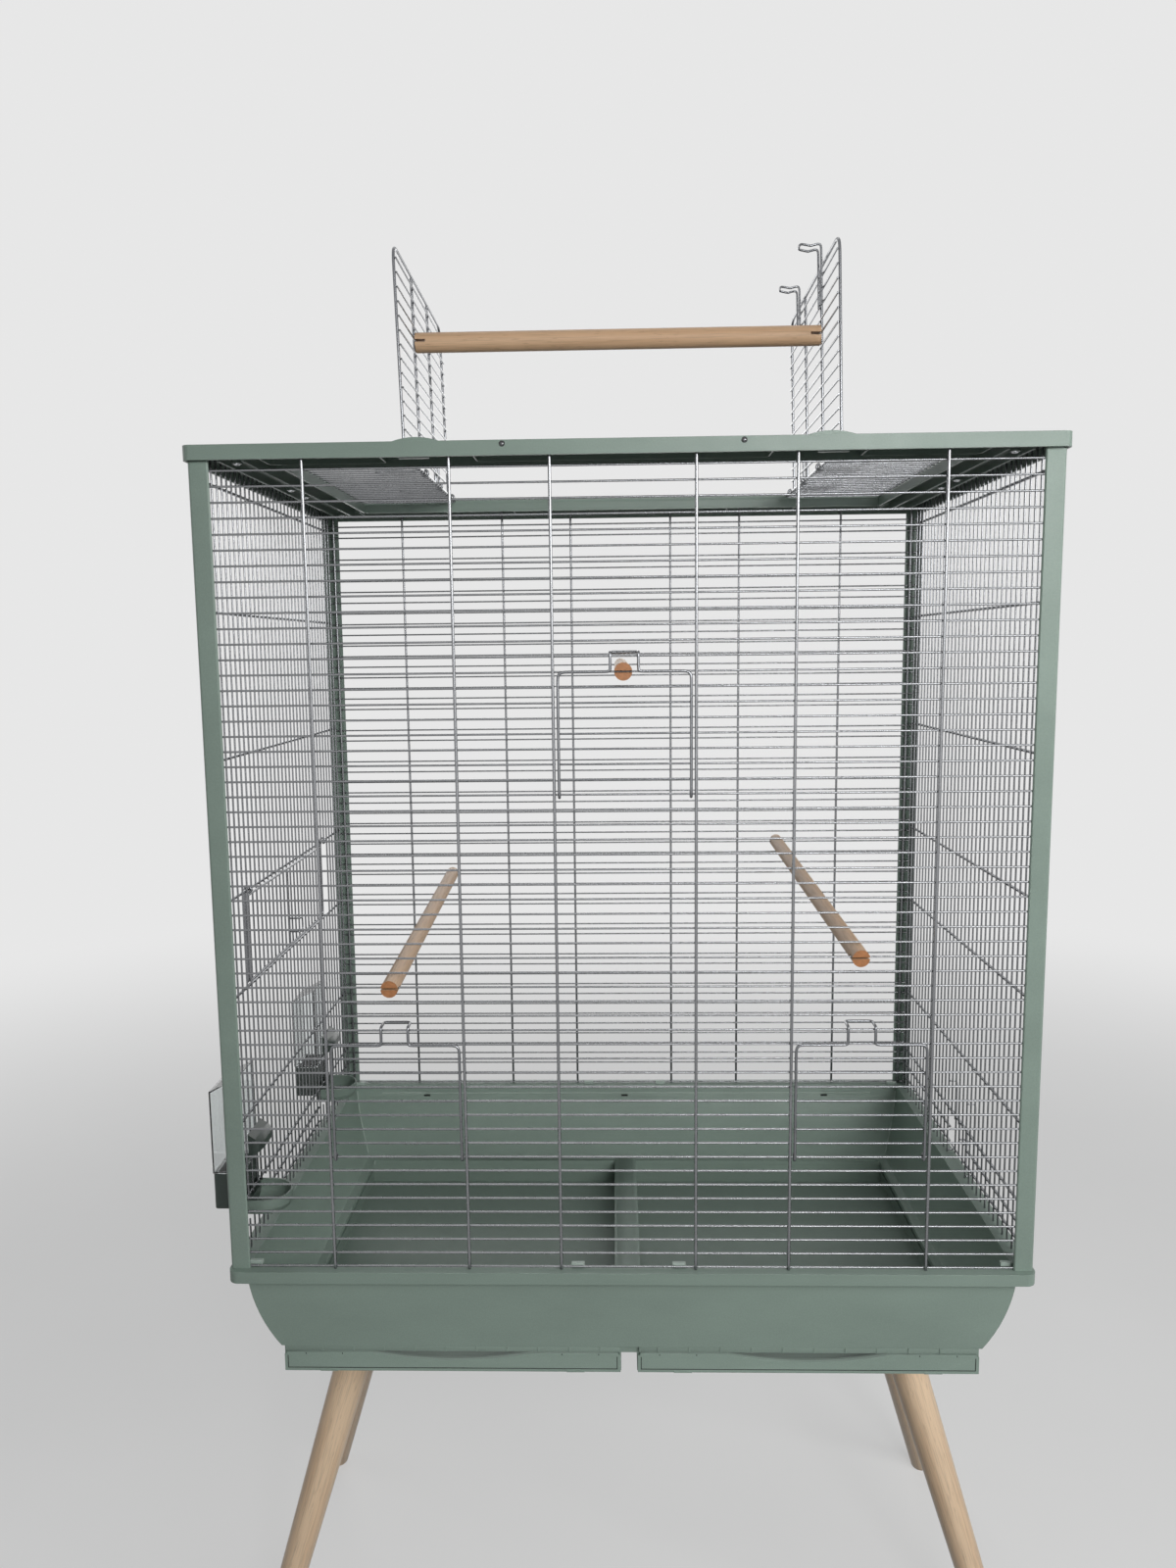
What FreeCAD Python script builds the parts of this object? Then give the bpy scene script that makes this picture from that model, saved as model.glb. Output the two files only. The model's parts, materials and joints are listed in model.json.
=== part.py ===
import FreeCAD, Part
import math
import os

# Bird cage on stand: a wire cage on a plastic base with two drawers and four splayed beech legs.
# Millimetres, +Z up, X across the front, the front faces -Y. The origin is on the floor, under
# the middle of the cage.

V = FreeCAD.Vector
X_AXIS, Y_AXIS, Z_AXIS = V(1, 0, 0), V(0, 1, 0), V(0, 0, 1)

# ---------------------------------------------------------------- driving dimensions
# cage
cage_width = 790.0            # over the corner posts
cage_depth = 468.0            # over the corner posts
bay_floor_height = 392.0      # floor to the underside of the drawer bays
bay_height = 27.5             # underside of the bays to the bottom of the tub
tub_height = 83.5             # bottom of the tub to the top of the rim
panel_height = 780.4          # top of the rim to the underside of the top frame

# wire
bar_wire = 2.0                # close-set bars
support_wire = 3.0            # cross wires that carry the bars
door_wire = 2.8
latch_wire = 2.4
bar_sides = 4                 # flats on the thin wire, one against the cross wires
wire_sides = 6                # and on the heavier wires
turned_sides = 16             # facets round the legs
small_sides = 8               # and round small turned pieces
play = 0.35                   # round every wire that turns on another
bar_end_gap = 2.0             # end of a front or back bar to the side flange of the post
panel_gap = 1.0
front_bar_pitch = 14.27
front_bar_drop = 8.2          # underside of the top frame to the highest bar
center_door_half = 66.1       # to the middles of the cross wires beside the door
lower_door_width = 133.6
lower_door_inset = 104.3      # post face to the outer cross wire of a lower door
edge_support_inset = 13.0
side_bar_pitch = 13.4
side_bar_margin = 12.0        # post face to the first side bar, at least
side_bar_inset = 7.0          # post face to the middle of a side bar
low_support_heights = (14.0, 32.0, 54.0)                        # above the rim
high_support_shares = (0.1736, 0.3402, 0.4671, 0.6465, 0.8278, 0.9815)    # of the panel height

# corner posts
post_size = 19.0
post_wall = 2.0
post_round = 3.0
post_bevel = 1.2

# top frame
frame_overhang_x = 3.5
frame_overhang_y = 6.0
frame_skirt = 13.5
frame_crown = 4.0             # raised inner band above the skirt
frame_crown_bevel = 3.0
frame_wall = 2.5
frame_side_width = 73.5
frame_front_width = 70.0
frame_inner_lift = 2.2        # inner wall's lower edge above the skirt's
frame_crown_inset_x = 27.0
frame_crown_inset_y = 18.0
frame_rail_insets = (26.0, 48.5)    # outer face to the rails under each side
frame_boss_inset = 37.5
frame_boss_places = (28.0, 199.0)
frame_corner = 8.0
frame_rebate = 1.2            # step in the inner wall that the roof bars end in
frame_rib_places = (-1, 0, 1)
frame_boss_radius = 5.0
frame_boss_lift = 3.0         # above the skirt's lower edge
thumb_half_width = 23.0
thumb_rise = 4.0
thumb_x = 190.0

# base
rim_overhang = 2.0
rim_overhang_front = 7.0
rim_height = 12.0
rim_corner = 10.0
tub_wall = 2.5
tub_front_inset = 2.0
tub_end_inset_top = 14.0      # tub end wall behind the post face, at the rim
tub_end_inset_bottom = 46.0
tub_rear_inset_top = 8.0
tub_rear_inset_bottom = 78.0
bridge_channel = 8.0          # half width of the open channel between the two bays
bay_wall = 2.2
bay_end_inset = 2.0           # end of the drawer bays inside the foot of the tub's end wall
bridge_depth = 8.0
ledge = 4.0                   # tub floor ledge over each drawer's front and outer edge
ledge_rear = 0.5
ledge_thickness = 5.5
divider_half = 9.0            # at its top
divider_height = 3.0          # above the ledge
rib_pitch = 31.0
rib_thickness = 1.4
rib_gap = 1.2                 # above the drawer front
notch_x = 278.0
notch_width = 5.0
notch_height = 4.0
notch_drop = 9.0              # top of the rim to the notch
notch_skin = 0.8              # wall left behind it
clip_half = 6.5
clip_inset = 22.5             # post face to the middle of an outer clip
clip_x = 50.0                 # and middle of the cage to an inner one
clip_depth = 4.5
clip_rise = 4.0
clip_hold = 6.0               # down the front wall

# drawers
drawer_gap = 0.6
drawer_slot = 7.0             # between the tub and the top edge of the drawer
drawer_wall = 2.2
drawer_front = 3.0
drawer_grip_inset = 45.0      # end of the drawer front to each small foot under it
drawer_grip_half = 9.0
drawer_grip_height = 1.8
drawer_grip_depth = 0.8
recess_width = 163.0
recess_depth = 8.0
recess_x = 178.0

# legs
leg_inset_x = 107.0           # top of the leg behind the post faces
leg_inset_front = 134.0
leg_inset_rear = 198.0
leg_splay_x = 113.0           # foot beyond the top of the leg
leg_splay_y = 94.0
leg_radius_top = 20.8
leg_radius_foot = 13.0
foot_round = 6.0
socket_depth = 46.0
socket_wall = 3.5
socket_plate = 84.0
socket_plate_thickness = 4.0
leg_seat = 12.0               # underside of the bays to the end of the leg, along the leg
stud_radius = 4.0
stud_length = 46.0
socket_plate_round = 9.0

# front doors
door_rows = 8                 # height in bar pitches
door_side_gap = 4.6           # door wire to the cross wire beside it
door_corner = 5.0
latch_half = 13.0
latch_reach = 16.0
latch_corner = 3.5
latch_loop_corner = 2.4       # at the loops that hook over a bar
latch_loop_rise = 1.2         # clear air between such a loop and its bar
curl_end = 450                # degrees round the hinge bar, from the +Y side by way of +Z
center_door_share = 0.39      # place of the bar that each door hinges on, from the top
lower_door_share = 0.845

# side door
side_door_half_count = 10.75     # half width in side bar pitches
side_door_index = 4           # cross wire under the door, counted from the rim
side_door_tie = 8.0           # hinge to the tie wire of the door
side_latch_height = 32.0
side_latch_reach = 12.0
side_latch_width = 8.0

# roof
roof_rise = 13.5              # roof bars above the underside of the frame
roof_bar_pitch = 13.4
flap_half_count = 10.5        # in roof bar pitches, so that each curl falls between two bars
flap_column_count = 3.5
flap_hinge_x = 210.5
flap_bar_pitch = 13.4
flap_bar_count = 14           # bars below the top wire of a flap
flap_corner = 12.0
flap_lean = 1.5               # degrees, to the left
stop_y = 65.0
stop_half = 9.0
stop_reach = 45.0
hook_half = 8.0
hook_leg = 44.0
hook_rise = 16.0
hook_reach = 21.0
hook_wave = 5.0

# perches
perch_radius = 8.3
roof_perch_radius = 10.2
slot_depth = 11.0
perch_overlap = 6.0           # perch end beyond the bar that it grips
perch_left_x = (-227.0, -236.0)      # front end and rear end
perch_right_x = (221.0, 210.0)
perch_center_x = (-1.0, -1.0)
perch_left_rows = (34, 33)           # bar that each end grips, counted from the top
perch_right_rows = (32, 30)
perch_center_rows = (13, 13)
roof_perch_bar = 10           # flap bar that carries the roof perch, counted from the hinge
roof_perch_overlap = 0.4

# feeders
feeder_inset_front = 62.0      # post face to the middle of the front feeder
feeder_inset_rear = 124.0
feeder_half = 25.0
feeder_reach_in = 38.0        # side bars to the tip of the cup
feeder_reach_out = 28.0       # beyond the post face
feeder_lift = 33.0            # above the rim
feeder_height = 18.0
feeder_collar_lift = 10.0     # underside of the cup to the underside of the collar
feeder_collar_height = 37.0
feeder_wall = 2.0
feeder_gap = 1.0              # collar to the cross wires
feeder_round = 8.0
feeder_opening = 34.0         # half width of the opening in the side panel
hopper_seat = 12.0            # underside of the collar to the foot of the hopper
hopper_rise = 102.0           # above the feeder collar
hopper_wall = 1.4
hopper_gap = 0.5
hopper_slope = 0.5
guard_height = 94.0           # above the rim
guard_reach = 26.0
guard_half = 20.0
guard_tall = 26.0             # at the bars
guard_thick = 7.0             # at the tip

# side hatch
hatch_bars = 4                # side bars cut for the hatch
hatch_foot = 4.0              # above the rim
hatch_height = 47.0
hatch_travel = 36.0
pull_reach = 9.0

# ---------------------------------------------------------------- derived places
half_w = cage_width / 2
half_d = cage_depth / 2
bay_z = bay_floor_height
tub_z = bay_z + bay_height
rim_z = tub_z + tub_height
frame_z = rim_z + panel_height
deck_z = frame_z + frame_skirt
crown_z = deck_z + frame_crown
front_face = half_d - post_wall                      # inner face of the front flange, as |Y|
side_face = half_w - post_wall
front_bar_y = front_face - bar_wire / 2
front_support_y = front_face + support_wire / 2
side_bar_x = half_w - side_bar_inset
side_support_x = side_bar_x + bar_wire / 2 + support_wire / 2
side_outer_x = side_support_x + support_wire / 2
top_bar_z = frame_z - front_bar_drop
wire_edge = 1 / math.cos(math.pi / wire_sides)       # corner radius over half the width of a wire
roof_bar_z = frame_z + roof_rise
hinge_z = roof_bar_z + bar_wire / 2 + support_wire / 2
frame_in_x = half_w + frame_overhang_x - frame_side_width
frame_in_y = half_d + frame_overhang_y - frame_front_width
front_bar_count = int((panel_height - front_bar_drop) // front_bar_pitch) + 1
side_bar_count = int((cage_depth - 2 * side_bar_margin) // side_bar_pitch) + 1
lower_door_outer = half_w - lower_door_inset
front_supports = (center_door_half, lower_door_outer - lower_door_width, lower_door_outer)
side_supports = [rim_z + height for height in low_support_heights]
side_supports += [rim_z + panel_height * share for share in high_support_shares]
side_door_half = side_door_half_count * side_bar_pitch
center_door_row = int(front_bar_count * center_door_share)
lower_door_row = int(front_bar_count * lower_door_share)
flap_half = flap_half_count * roof_bar_pitch
flap_column = flap_column_count * roof_bar_pitch
tub_front = half_d - tub_front_inset
bay_x = half_w - tub_end_inset_bottom - bay_end_inset
bay_rear = half_d - tub_rear_inset_bottom
bay_front = tub_front - drawer_front - drawer_gap
flap_height = (flap_bar_count + 1) * flap_bar_pitch
feeder_places = (feeder_inset_front - half_d, half_d - feeder_inset_rear)
hatch_y = -side_bar_pitch
hatch_half = (hatch_bars + 1) / 2 * side_bar_pitch
curl_step = 45


def corner_of(diameter):
    return diameter / 2 * wire_edge


def curl_radius(axis_wire, wire):
    """Centre line of a wire curled round a round one, in straight steps, with play."""
    return (axis_wire / 2 + play + wire / 2) / math.cos(math.radians(curl_step / 2))


def bar_z(row):
    return top_bar_z - row * front_bar_pitch


# ---------------------------------------------------------------- solids
def box(x0, x1, y0, y1, z0, z1):
    return Part.makeBox(x1 - x0, y1 - y0, z1 - z0, V(x0, y0, z0))


def side_box(s, x0, x1, y0, y1, z0, z1):
    """A box given on the right, or mirrored to the left when s is -1."""
    near, far = sorted((s * x0, s * x1))
    return box(near, far, y0, y1, z0, z1)


def upright_edges(shape):
    return [e for e in shape.Edges if abs(e.tangentAt(e.FirstParameter).z) > 0.99]


def ring_solid(rings):
    """A closed solid with flat facets between rings that have the same number of corners."""
    faces = [Part.Face(Part.makePolygon(end + end[:1])) for end in (rings[0], rings[-1])]
    for near, far in zip(rings, rings[1:]):
        for k in range(len(near)):
            n = (k + 1) % len(near)
            faces.append(Part.Face(Part.makePolygon([near[k], near[n], far[n], far[k], near[k]])))
    solid = Part.Solid(Part.Shell(faces))
    if solid.Volume < 0:
        solid.reverse()
    return solid


def ring(centre, across, beside, radius, sides):
    """The corners of a regular polygon, with a flat turned to the across vector."""
    corners = []
    for k in range(sides):
        turn = (k + 0.5) * 2 * math.pi / sides
        corners.append(centre + across * (radius * math.cos(turn)) + beside * (radius * math.sin(turn)))
    return corners


def turned(start, run, stations, sides=turned_sides):
    """A faceted turning along a line: stations are distances from the start and radii."""
    across = run.cross(X_AXIS if abs(run.x) < 0.9 else Z_AXIS).normalize()
    beside = run.cross(across)
    return ring_solid([ring(start + run * d, across, beside, r, sides) for d, r in stations])


def wire_solid(points, diameter, flat, sides=wire_sides):
    """A mitred wire of regular section along the points, with one flat turned to the flat vector."""
    points = [V(p) for p in points]
    runs = [(b - a).normalize() for a, b in zip(points, points[1:])]
    across = (V(flat) - runs[0] * V(flat).dot(runs[0])).normalize()
    beside = runs[0].cross(across)
    rings = [ring(points[0], across, beside, diameter / 2 / math.cos(math.pi / sides), sides)]
    for i in range(1, len(points)):
        run = runs[i - 1]
        normal = (run + runs[i]).normalize() if i < len(runs) else run
        rings.append([v + run * ((points[i] - v).dot(normal) / run.dot(normal)) for v in rings[-1]])
    return ring_solid(rings)


def bend(points, radius, steps=2):
    """The points with every inner corner replaced by a few points on an arc of the given radius."""
    points = [V(p) for p in points]
    out = [points[0]]
    for before, corner, after in zip(points, points[1:], points[2:]):
        back, on = (before - corner).normalize(), (after - corner).normalize()
        half = back.getAngle(on) / 2
        reach = radius / math.tan(half)
        centre = corner + (back + on).normalize() * (radius / math.sin(half))
        start, end = corner + back * reach - centre, corner + on * reach - centre
        sweep = start.getAngle(end)
        for k in range(steps + 1):
            a = math.sin((1 - k / steps) * sweep) / math.sin(sweep)
            b = math.sin(k / steps * sweep) / math.sin(sweep)
            out.append(centre + start * a + end * b)
    return out + [points[-1]]


def curl(centre, radius, first, last, plane):
    """Points round an axis, from one angle to another in degrees, in the plane of two vectors."""
    steps = round(abs(last - first) / curl_step)
    out = []
    for k in range(steps + 1):
        a = math.radians(first + (last - first) * k / steps)
        out.append(V(centre) + plane[0] * (radius * math.cos(a)) + plane[1] * (radius * math.sin(a)))
    return out


def straight(start, end, diameter, flat):
    sides = bar_sides if diameter == bar_wire else wire_sides
    return wire_solid([start, end], diameter, flat, sides)


def bar_x(x0, x1, y, z, diameter, flat=Y_AXIS):
    return straight((x0, y, z), (x1, y, z), diameter, flat)


def bar_y(y0, y1, x, z, diameter, flat=X_AXIS):
    return straight((x, y0, z), (x, y1, z), diameter, flat)


def bar_up(z0, z1, x, y, diameter, flat):
    return straight((x, y, z0), (x, y, z1), diameter, flat)


def hinge_bar(start, end, diameter):
    """A round bar that a door or flap turns on."""
    run = V(end) - V(start)
    return Part.makeCylinder(diameter / 2, run.Length, V(start), run)


def rounded_block(half_x, y0, y1, z0, z1, radius):
    """A block, centred across, with rounded upright edges."""
    block = box(-half_x, half_x, y0, y1, z0, z1)
    return block.makeFillet(radius, upright_edges(block))


def rounded_ring(half_x, half_y, radius, z, steps=3):
    """The corners of a rounded rectangle, centred on the origin."""
    corners = []
    for start, sx, sy in ((0, 1, 1), (90, -1, 1), (180, -1, -1), (270, 1, -1)):
        for k in range(steps + 1):
            a = math.radians(start + 90 * k / steps)
            corners.append(V(sx * (half_x - radius) + radius * math.cos(a),
                             sy * (half_y - radius) + radius * math.sin(a), z))
    return corners


# ---------------------------------------------------------------- wire panels
def front_openings():
    """The door openings in the front panel: left wire, right wire and the bar that the door hangs on."""
    inner, middle, outer = front_supports
    return {
        "door_center": (-inner, inner, center_door_row),
        "door_left": (-outer, -middle, lower_door_row),
        "door_right": (middle, outer, lower_door_row),
    }


def face_panel(side, openings):
    """The front panel for side -1 and the back one for side 1: bars inside, cross wires outside."""
    solids = []
    hinge_rows = {hinge for x0, x1, hinge in openings}
    bar_plane, support_plane = side * front_bar_y, side * front_support_y
    end = side_face - bar_end_gap
    under_wire = support_wire / 2
    for row in range(front_bar_count):
        start = -end
        cuts = sorted((x0, x1) for x0, x1, hinge in openings if hinge - door_rows < row < hinge)
        for x0, x1 in cuts:
            solids.append(bar_x(start, x0 + under_wire, bar_plane, bar_z(row), bar_wire))
            start = x1 - under_wire
        if row in hinge_rows:
            solids.append(hinge_bar((start, bar_plane, bar_z(row)), (end, bar_plane, bar_z(row)), bar_wire))
        else:
            solids.append(bar_x(start, end, bar_plane, bar_z(row), bar_wire))
    edge_plane = side * (front_bar_y - bar_wire / 2 - support_wire / 2)
    for s in (-1, 1):
        for x in front_supports:
            solids.append(bar_up(rim_z, deck_z - frame_wall, s * x, support_plane, support_wire, Y_AXIS))
        x = s * (half_w - edge_support_inset)
        solids.append(bar_up(rim_z, deck_z - frame_wall, x, edge_plane, support_wire, Y_AXIS))
    return solids


def side_bars_y():
    first = -(side_bar_count - 1) * side_bar_pitch / 2
    return [first + i * side_bar_pitch for i in range(side_bar_count)]


def side_panel(side, openings, door=False):
    """A side panel: upright bars inside, level cross wires outside, with its low openings and door."""
    solids = []
    bar_plane, support_plane = side * side_bar_x, side * side_support_x
    reach = front_bar_y - bar_wire / 2 - panel_gap
    lintel = side_supports[len(low_support_heights) - 1]
    under_wire = support_wire / 2
    kept = []
    for y in side_bars_y():
        cut = any(abs(y - place) < half for place, half in openings)
        if not cut:
            kept.append(y)
        z0 = lintel - under_wire if cut else rim_z
        if door and abs(y) < side_door_half:
            z1 = side_supports[side_door_index] + under_wire
            solids.append(bar_up(z0, z1, bar_plane, y, bar_wire, X_AXIS))
            z0 = side_supports[side_door_index + 1] - under_wire
        solids.append(bar_up(z0, deck_z - frame_wall, bar_plane, y, bar_wire, X_AXIS))
    for index, z in enumerate(side_supports):
        start = -reach
        if z < lintel:
            for place, half in sorted(openings):
                end = max(y for y in kept if y <= place - half) + bar_wire / 2
                solids.append(bar_y(start, end, support_plane, z, support_wire))
                start = min(y for y in kept if y >= place + half) - bar_wire / 2
        if door and index == side_door_index + 1:
            solids.append(hinge_bar((support_plane, start, z), (support_plane, reach, z), support_wire))
        else:
            solids.append(bar_y(start, reach, support_plane, z, support_wire))
    return solids


def roof_panel():
    """Bars on both sides of the roof door, with the two wires that the flaps hang on above them."""
    solids = []
    count = int((frame_in_y - roof_bar_pitch / 2) // roof_bar_pitch)
    into = frame_rebate - play
    for s in (-1, 1):
        x0, x1 = sorted((s * (flap_hinge_x - support_wire / 2), s * (frame_in_x + into)))
        for i in range(-count, count + 1):
            solids.append(bar_x(x0, x1, i * roof_bar_pitch, roof_bar_z, bar_wire, Z_AXIS))
        x, reach = s * flap_hinge_x, frame_in_y + into
        solids.append(hinge_bar((x, -reach, hinge_z), (x, reach, hinge_z), support_wire))
    return solids


# ---------------------------------------------------------------- doors
def front_door(x0, x1, row):
    """A drop-down door: one bent wire with a latch loop, curled round its hinge bar, and its bars."""
    hinge, top = bar_z(row), bar_z(row - door_rows)
    left, right = x0 + door_side_gap, x1 - door_side_gap
    near, far = (x0 + x1) / 2 - latch_half, (x0 + x1) / 2 + latch_half
    radius = curl_radius(bar_wire, door_wire)
    plane = -front_bar_y - radius
    inside = plane + latch_reach
    loop_z = bar_z(row - door_rows - 1) + bar_wire / 2 + latch_loop_rise + door_wire / 2
    down = curl((left, -front_bar_y, hinge), radius, curl_end, 180, (Y_AXIS, Z_AXIS))
    up = curl((right, -front_bar_y, hinge), radius, 180, curl_end, (Y_AXIS, Z_AXIS))
    shoulder = bend([down[-1], (left, plane, top), (near, plane, top)], door_corner)
    loop = bend([shoulder[-1] - X_AXIS, (near, plane, top), (near, plane, loop_z), (near, inside, loop_z),
                 (far, inside, loop_z), (far, plane, loop_z), (far, plane, top), (far + 1, plane, top)],
                latch_loop_corner)
    fall = bend([(far, plane, top), (right, plane, top), up[0]], door_corner)
    path = down + shoulder[1:-1] + loop[1:-1] + fall[1:-1] + up
    solids = [wire_solid(path, door_wire, Z_AXIS)]
    edge = door_wire / 2
    for k in range(1, door_rows):
        solids.append(bar_x(left - edge, right + edge, plane + edge + bar_wire / 2,
                            hinge + k * front_bar_pitch, bar_wire))
    return solids


def side_door():
    """The wide flap door in the left side panel, hung from the cross wire above it."""
    foot, head = side_supports[side_door_index], side_supports[side_door_index + 1]
    axis_x = -side_support_x
    radius = curl_radius(support_wire, door_wire)
    plane = axis_x - radius
    tie_z = head - side_door_tie
    edge = side_door_half
    near = curl((axis_x, -edge, head), radius, -90, 180, (X_AXIS, Z_AXIS))
    far = curl((axis_x, edge, head), radius, 180, -90, (X_AXIS, Z_AXIS))
    round_foot = bend([near[-1], (plane, -edge, foot), (plane, edge, foot), far[0]], door_corner)
    solids = [wire_solid(near + round_foot[1:-1] + far, door_wire, Z_AXIS)]
    half = door_wire / 2
    solids.append(bar_y(half - edge, edge - half, plane, tie_z, door_wire))
    solids.append(bar_up(foot + half, tie_z - half, plane, 0, door_wire, X_AXIS))
    for y in side_bars_y():
        if abs(y) < edge - door_wire:
            solids.append(bar_up(foot - half, tie_z + half, plane - half - bar_wire / 2, y, bar_wire, X_AXIS))
    low, high = foot + side_latch_height / 2, foot + side_latch_height
    start, reach = plane + half, plane + half + side_latch_reach
    hook = [(start, 0, high), (reach, 0, high), (reach, side_latch_width, high)]
    hook += [(reach, side_latch_width, low), (reach, 0, low), (start, 0, low)]
    solids.append(wire_solid(bend(hook, bar_wire, 1), bar_wire, Z_AXIS, bar_sides))
    return solids


# ---------------------------------------------------------------- roof flaps
def roof_flap(side):
    """A roof flap standing open; side -1 is the left one. Its bars face the middle of the roof."""
    radius = curl_radius(support_wire, support_wire)
    axis_x = side * flap_hinge_x
    plane = axis_x + side * radius
    bars_x = plane - side * (support_wire / 2 + bar_wire / 2)
    top = hinge_z + flap_height
    half, column = flap_half, flap_column
    plan = (X_AXIS * side, Z_AXIS)
    near = curl((axis_x, -half, hinge_z), radius, -270, 0, plan)
    far = curl((axis_x, half, hinge_z), radius, 0, -270, plan)
    arch = bend([near[-1], (plane, -half, top), (plane, half, top), far[0]], flap_corner)
    solids = [wire_solid(near + arch[1:-1] + far, support_wire, Z_AXIS)]
    stop_x = plane + side * stop_reach
    stop_z = hinge_z - support_wire / 2 + play + latch_wire / 2
    stop_z += (radius + stop_reach) * math.sin(math.radians(flap_lean))
    for s in (-1, 1):
        rise = curl((axis_x, s * column, hinge_z), radius, -270, 0, plan)
        rise.append(V(plane, s * column, top - support_wire / 2))
        solids.append(wire_solid(rise, support_wire, Z_AXIS))
        y0, y1 = s * stop_y - stop_half, s * stop_y + stop_half
        stop_top = hinge_z + 2 * flap_bar_pitch + bar_wire
        stop = [(plane, y0, stop_top), (plane, y0, stop_z), (stop_x, y0, stop_z)]
        stop += [(stop_x, y1, stop_z), (plane, y1, stop_z), (plane, y1, stop_top)]
        solids.append(wire_solid(bend(stop, latch_corner, 1), latch_wire, X_AXIS, bar_sides))
    edge = support_wire / 2
    for k in range(1, flap_bar_count + 1):
        solids.append(bar_y(-half - edge, half + edge, bars_x, hinge_z + k * flap_bar_pitch, bar_wire))
    if side > 0:
        inner = bars_x - bar_wire / 2 - latch_wire / 2
        for s in (-1, 1):
            solids.append(roof_hook(inner, s * stop_y, top))
    for solid in solids:
        solid.rotate(V(axis_x, 0, hinge_z), Y_AXIS, -flap_lean)
    return solids


def roof_hook(inner, y, top):
    """A waved wire loop that catches the other flap when both are shut."""
    high, low = top + hook_rise, top - hook_leg
    tip = inner - hook_reach
    dip_x, dip_z = inner - hook_reach / 2, high - hook_wave / 2
    y0, y1 = y - hook_half, y + hook_half
    path = [(inner, y0, low), (inner, y0, high), (dip_x, y0, dip_z), (tip, y0, high), (tip, y1, high)]
    path += [(dip_x, y1, dip_z), (inner, y1, high), (inner, y1, low)]
    return wire_solid(bend(path, bar_wire, 1), latch_wire, X_AXIS, bar_sides)


# ---------------------------------------------------------------- perches
def perch(start, end, radius, overlap, slot):
    """A dowel between two points on the bars that it grips, with a level saw slot in each end."""
    start, end = V(start), V(end)
    run = (end - start).normalize()
    a, b = start - run * overlap, end + run * overlap
    dowel = Part.makeCylinder(radius, (b - a).Length, a, run)
    along_x = abs(run.x) > abs(run.y)
    for bar, tip in ((start, a), (end, b)):
        inward = 1 if (bar - tip).dot(run) > 0 else -1
        step = run * (inward * slot_depth)
        lo, hi = V(tip - step), V(tip + step)
        x0, x1 = sorted((lo.x, hi.x))
        y0, y1 = sorted((lo.y, hi.y))
        if along_x:
            y0, y1 = tip.y - 2 * radius, tip.y + 2 * radius
        else:
            x0, x1 = tip.x - 2 * radius, tip.x + 2 * radius
        dowel = dowel.cut(box(x0, x1, y0, y1, bar.z - slot / 2, bar.z + slot / 2))
    return [dowel]


def cage_perches():
    lines = {
        "perch_left": (perch_left_x, perch_left_rows),
        "perch_right": (perch_right_x, perch_right_rows),
        "perch_center": (perch_center_x, perch_center_rows),
    }
    perches = {}
    for name, (x, row) in lines.items():
        start, end = (x[0], -front_bar_y, bar_z(row[0])), (x[1], front_bar_y, bar_z(row[1]))
        perches[name] = perch(start, end, perch_radius, perch_overlap, bar_wire)
    return perches


def roof_perch_ends():
    """Where the roof perch grips a bar of each leaning flap."""
    inset = curl_radius(support_wire, support_wire) - support_wire / 2 - bar_wire / 2
    height = roof_perch_bar * flap_bar_pitch
    lean = math.radians(flap_lean)
    ends = []
    for side in (-1, 1):
        x = side * (flap_hinge_x + inset * math.cos(lean)) - height * math.sin(lean)
        ends.append(V(x, -flap_column, hinge_z + height * math.cos(lean)))
    return ends


def roof_perch():
    slot = bar_wire + 2 * play
    start, end = roof_perch_ends()
    return perch(start, end, roof_perch_radius, roof_perch_overlap, slot)


# ---------------------------------------------------------------- top frame and posts
def corner_post(sx, sy):
    """An angle post with a rounded outer corner and a bevel down each free edge."""
    top = deck_z - frame_wall
    post = box(0, post_size, 0, post_size, rim_z, top)
    outer = [e for e in upright_edges(post) if e.CenterOfMass.x + e.CenterOfMass.y < 1]
    free = [e for e in upright_edges(post) if abs(e.CenterOfMass.x - e.CenterOfMass.y) > 1]
    post = post.makeChamfer(post_bevel, free)
    outer = [e for e in upright_edges(post) if e.CenterOfMass.x + e.CenterOfMass.y < 1]
    post = post.makeFillet(post_round, outer)
    post = post.cut(box(post_wall, post_size + 1, post_wall, post_size + 1, rim_z - 1, top + 1))
    post.translate(V(-half_w, -half_d, 0))
    if sx > 0:
        post = post.mirror(V(0, 0, 0), X_AXIS)
    if sy > 0:
        post = post.mirror(V(0, 0, 0), Y_AXIS)
    return [post]


def frame_bosses():
    """Places of the screw bosses under the frame."""
    x = half_w + frame_overhang_x - frame_boss_inset
    return [V(s * x, t * y, 0) for s in (-1, 1) for t in (-1, 1) for y in frame_boss_places]


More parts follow.
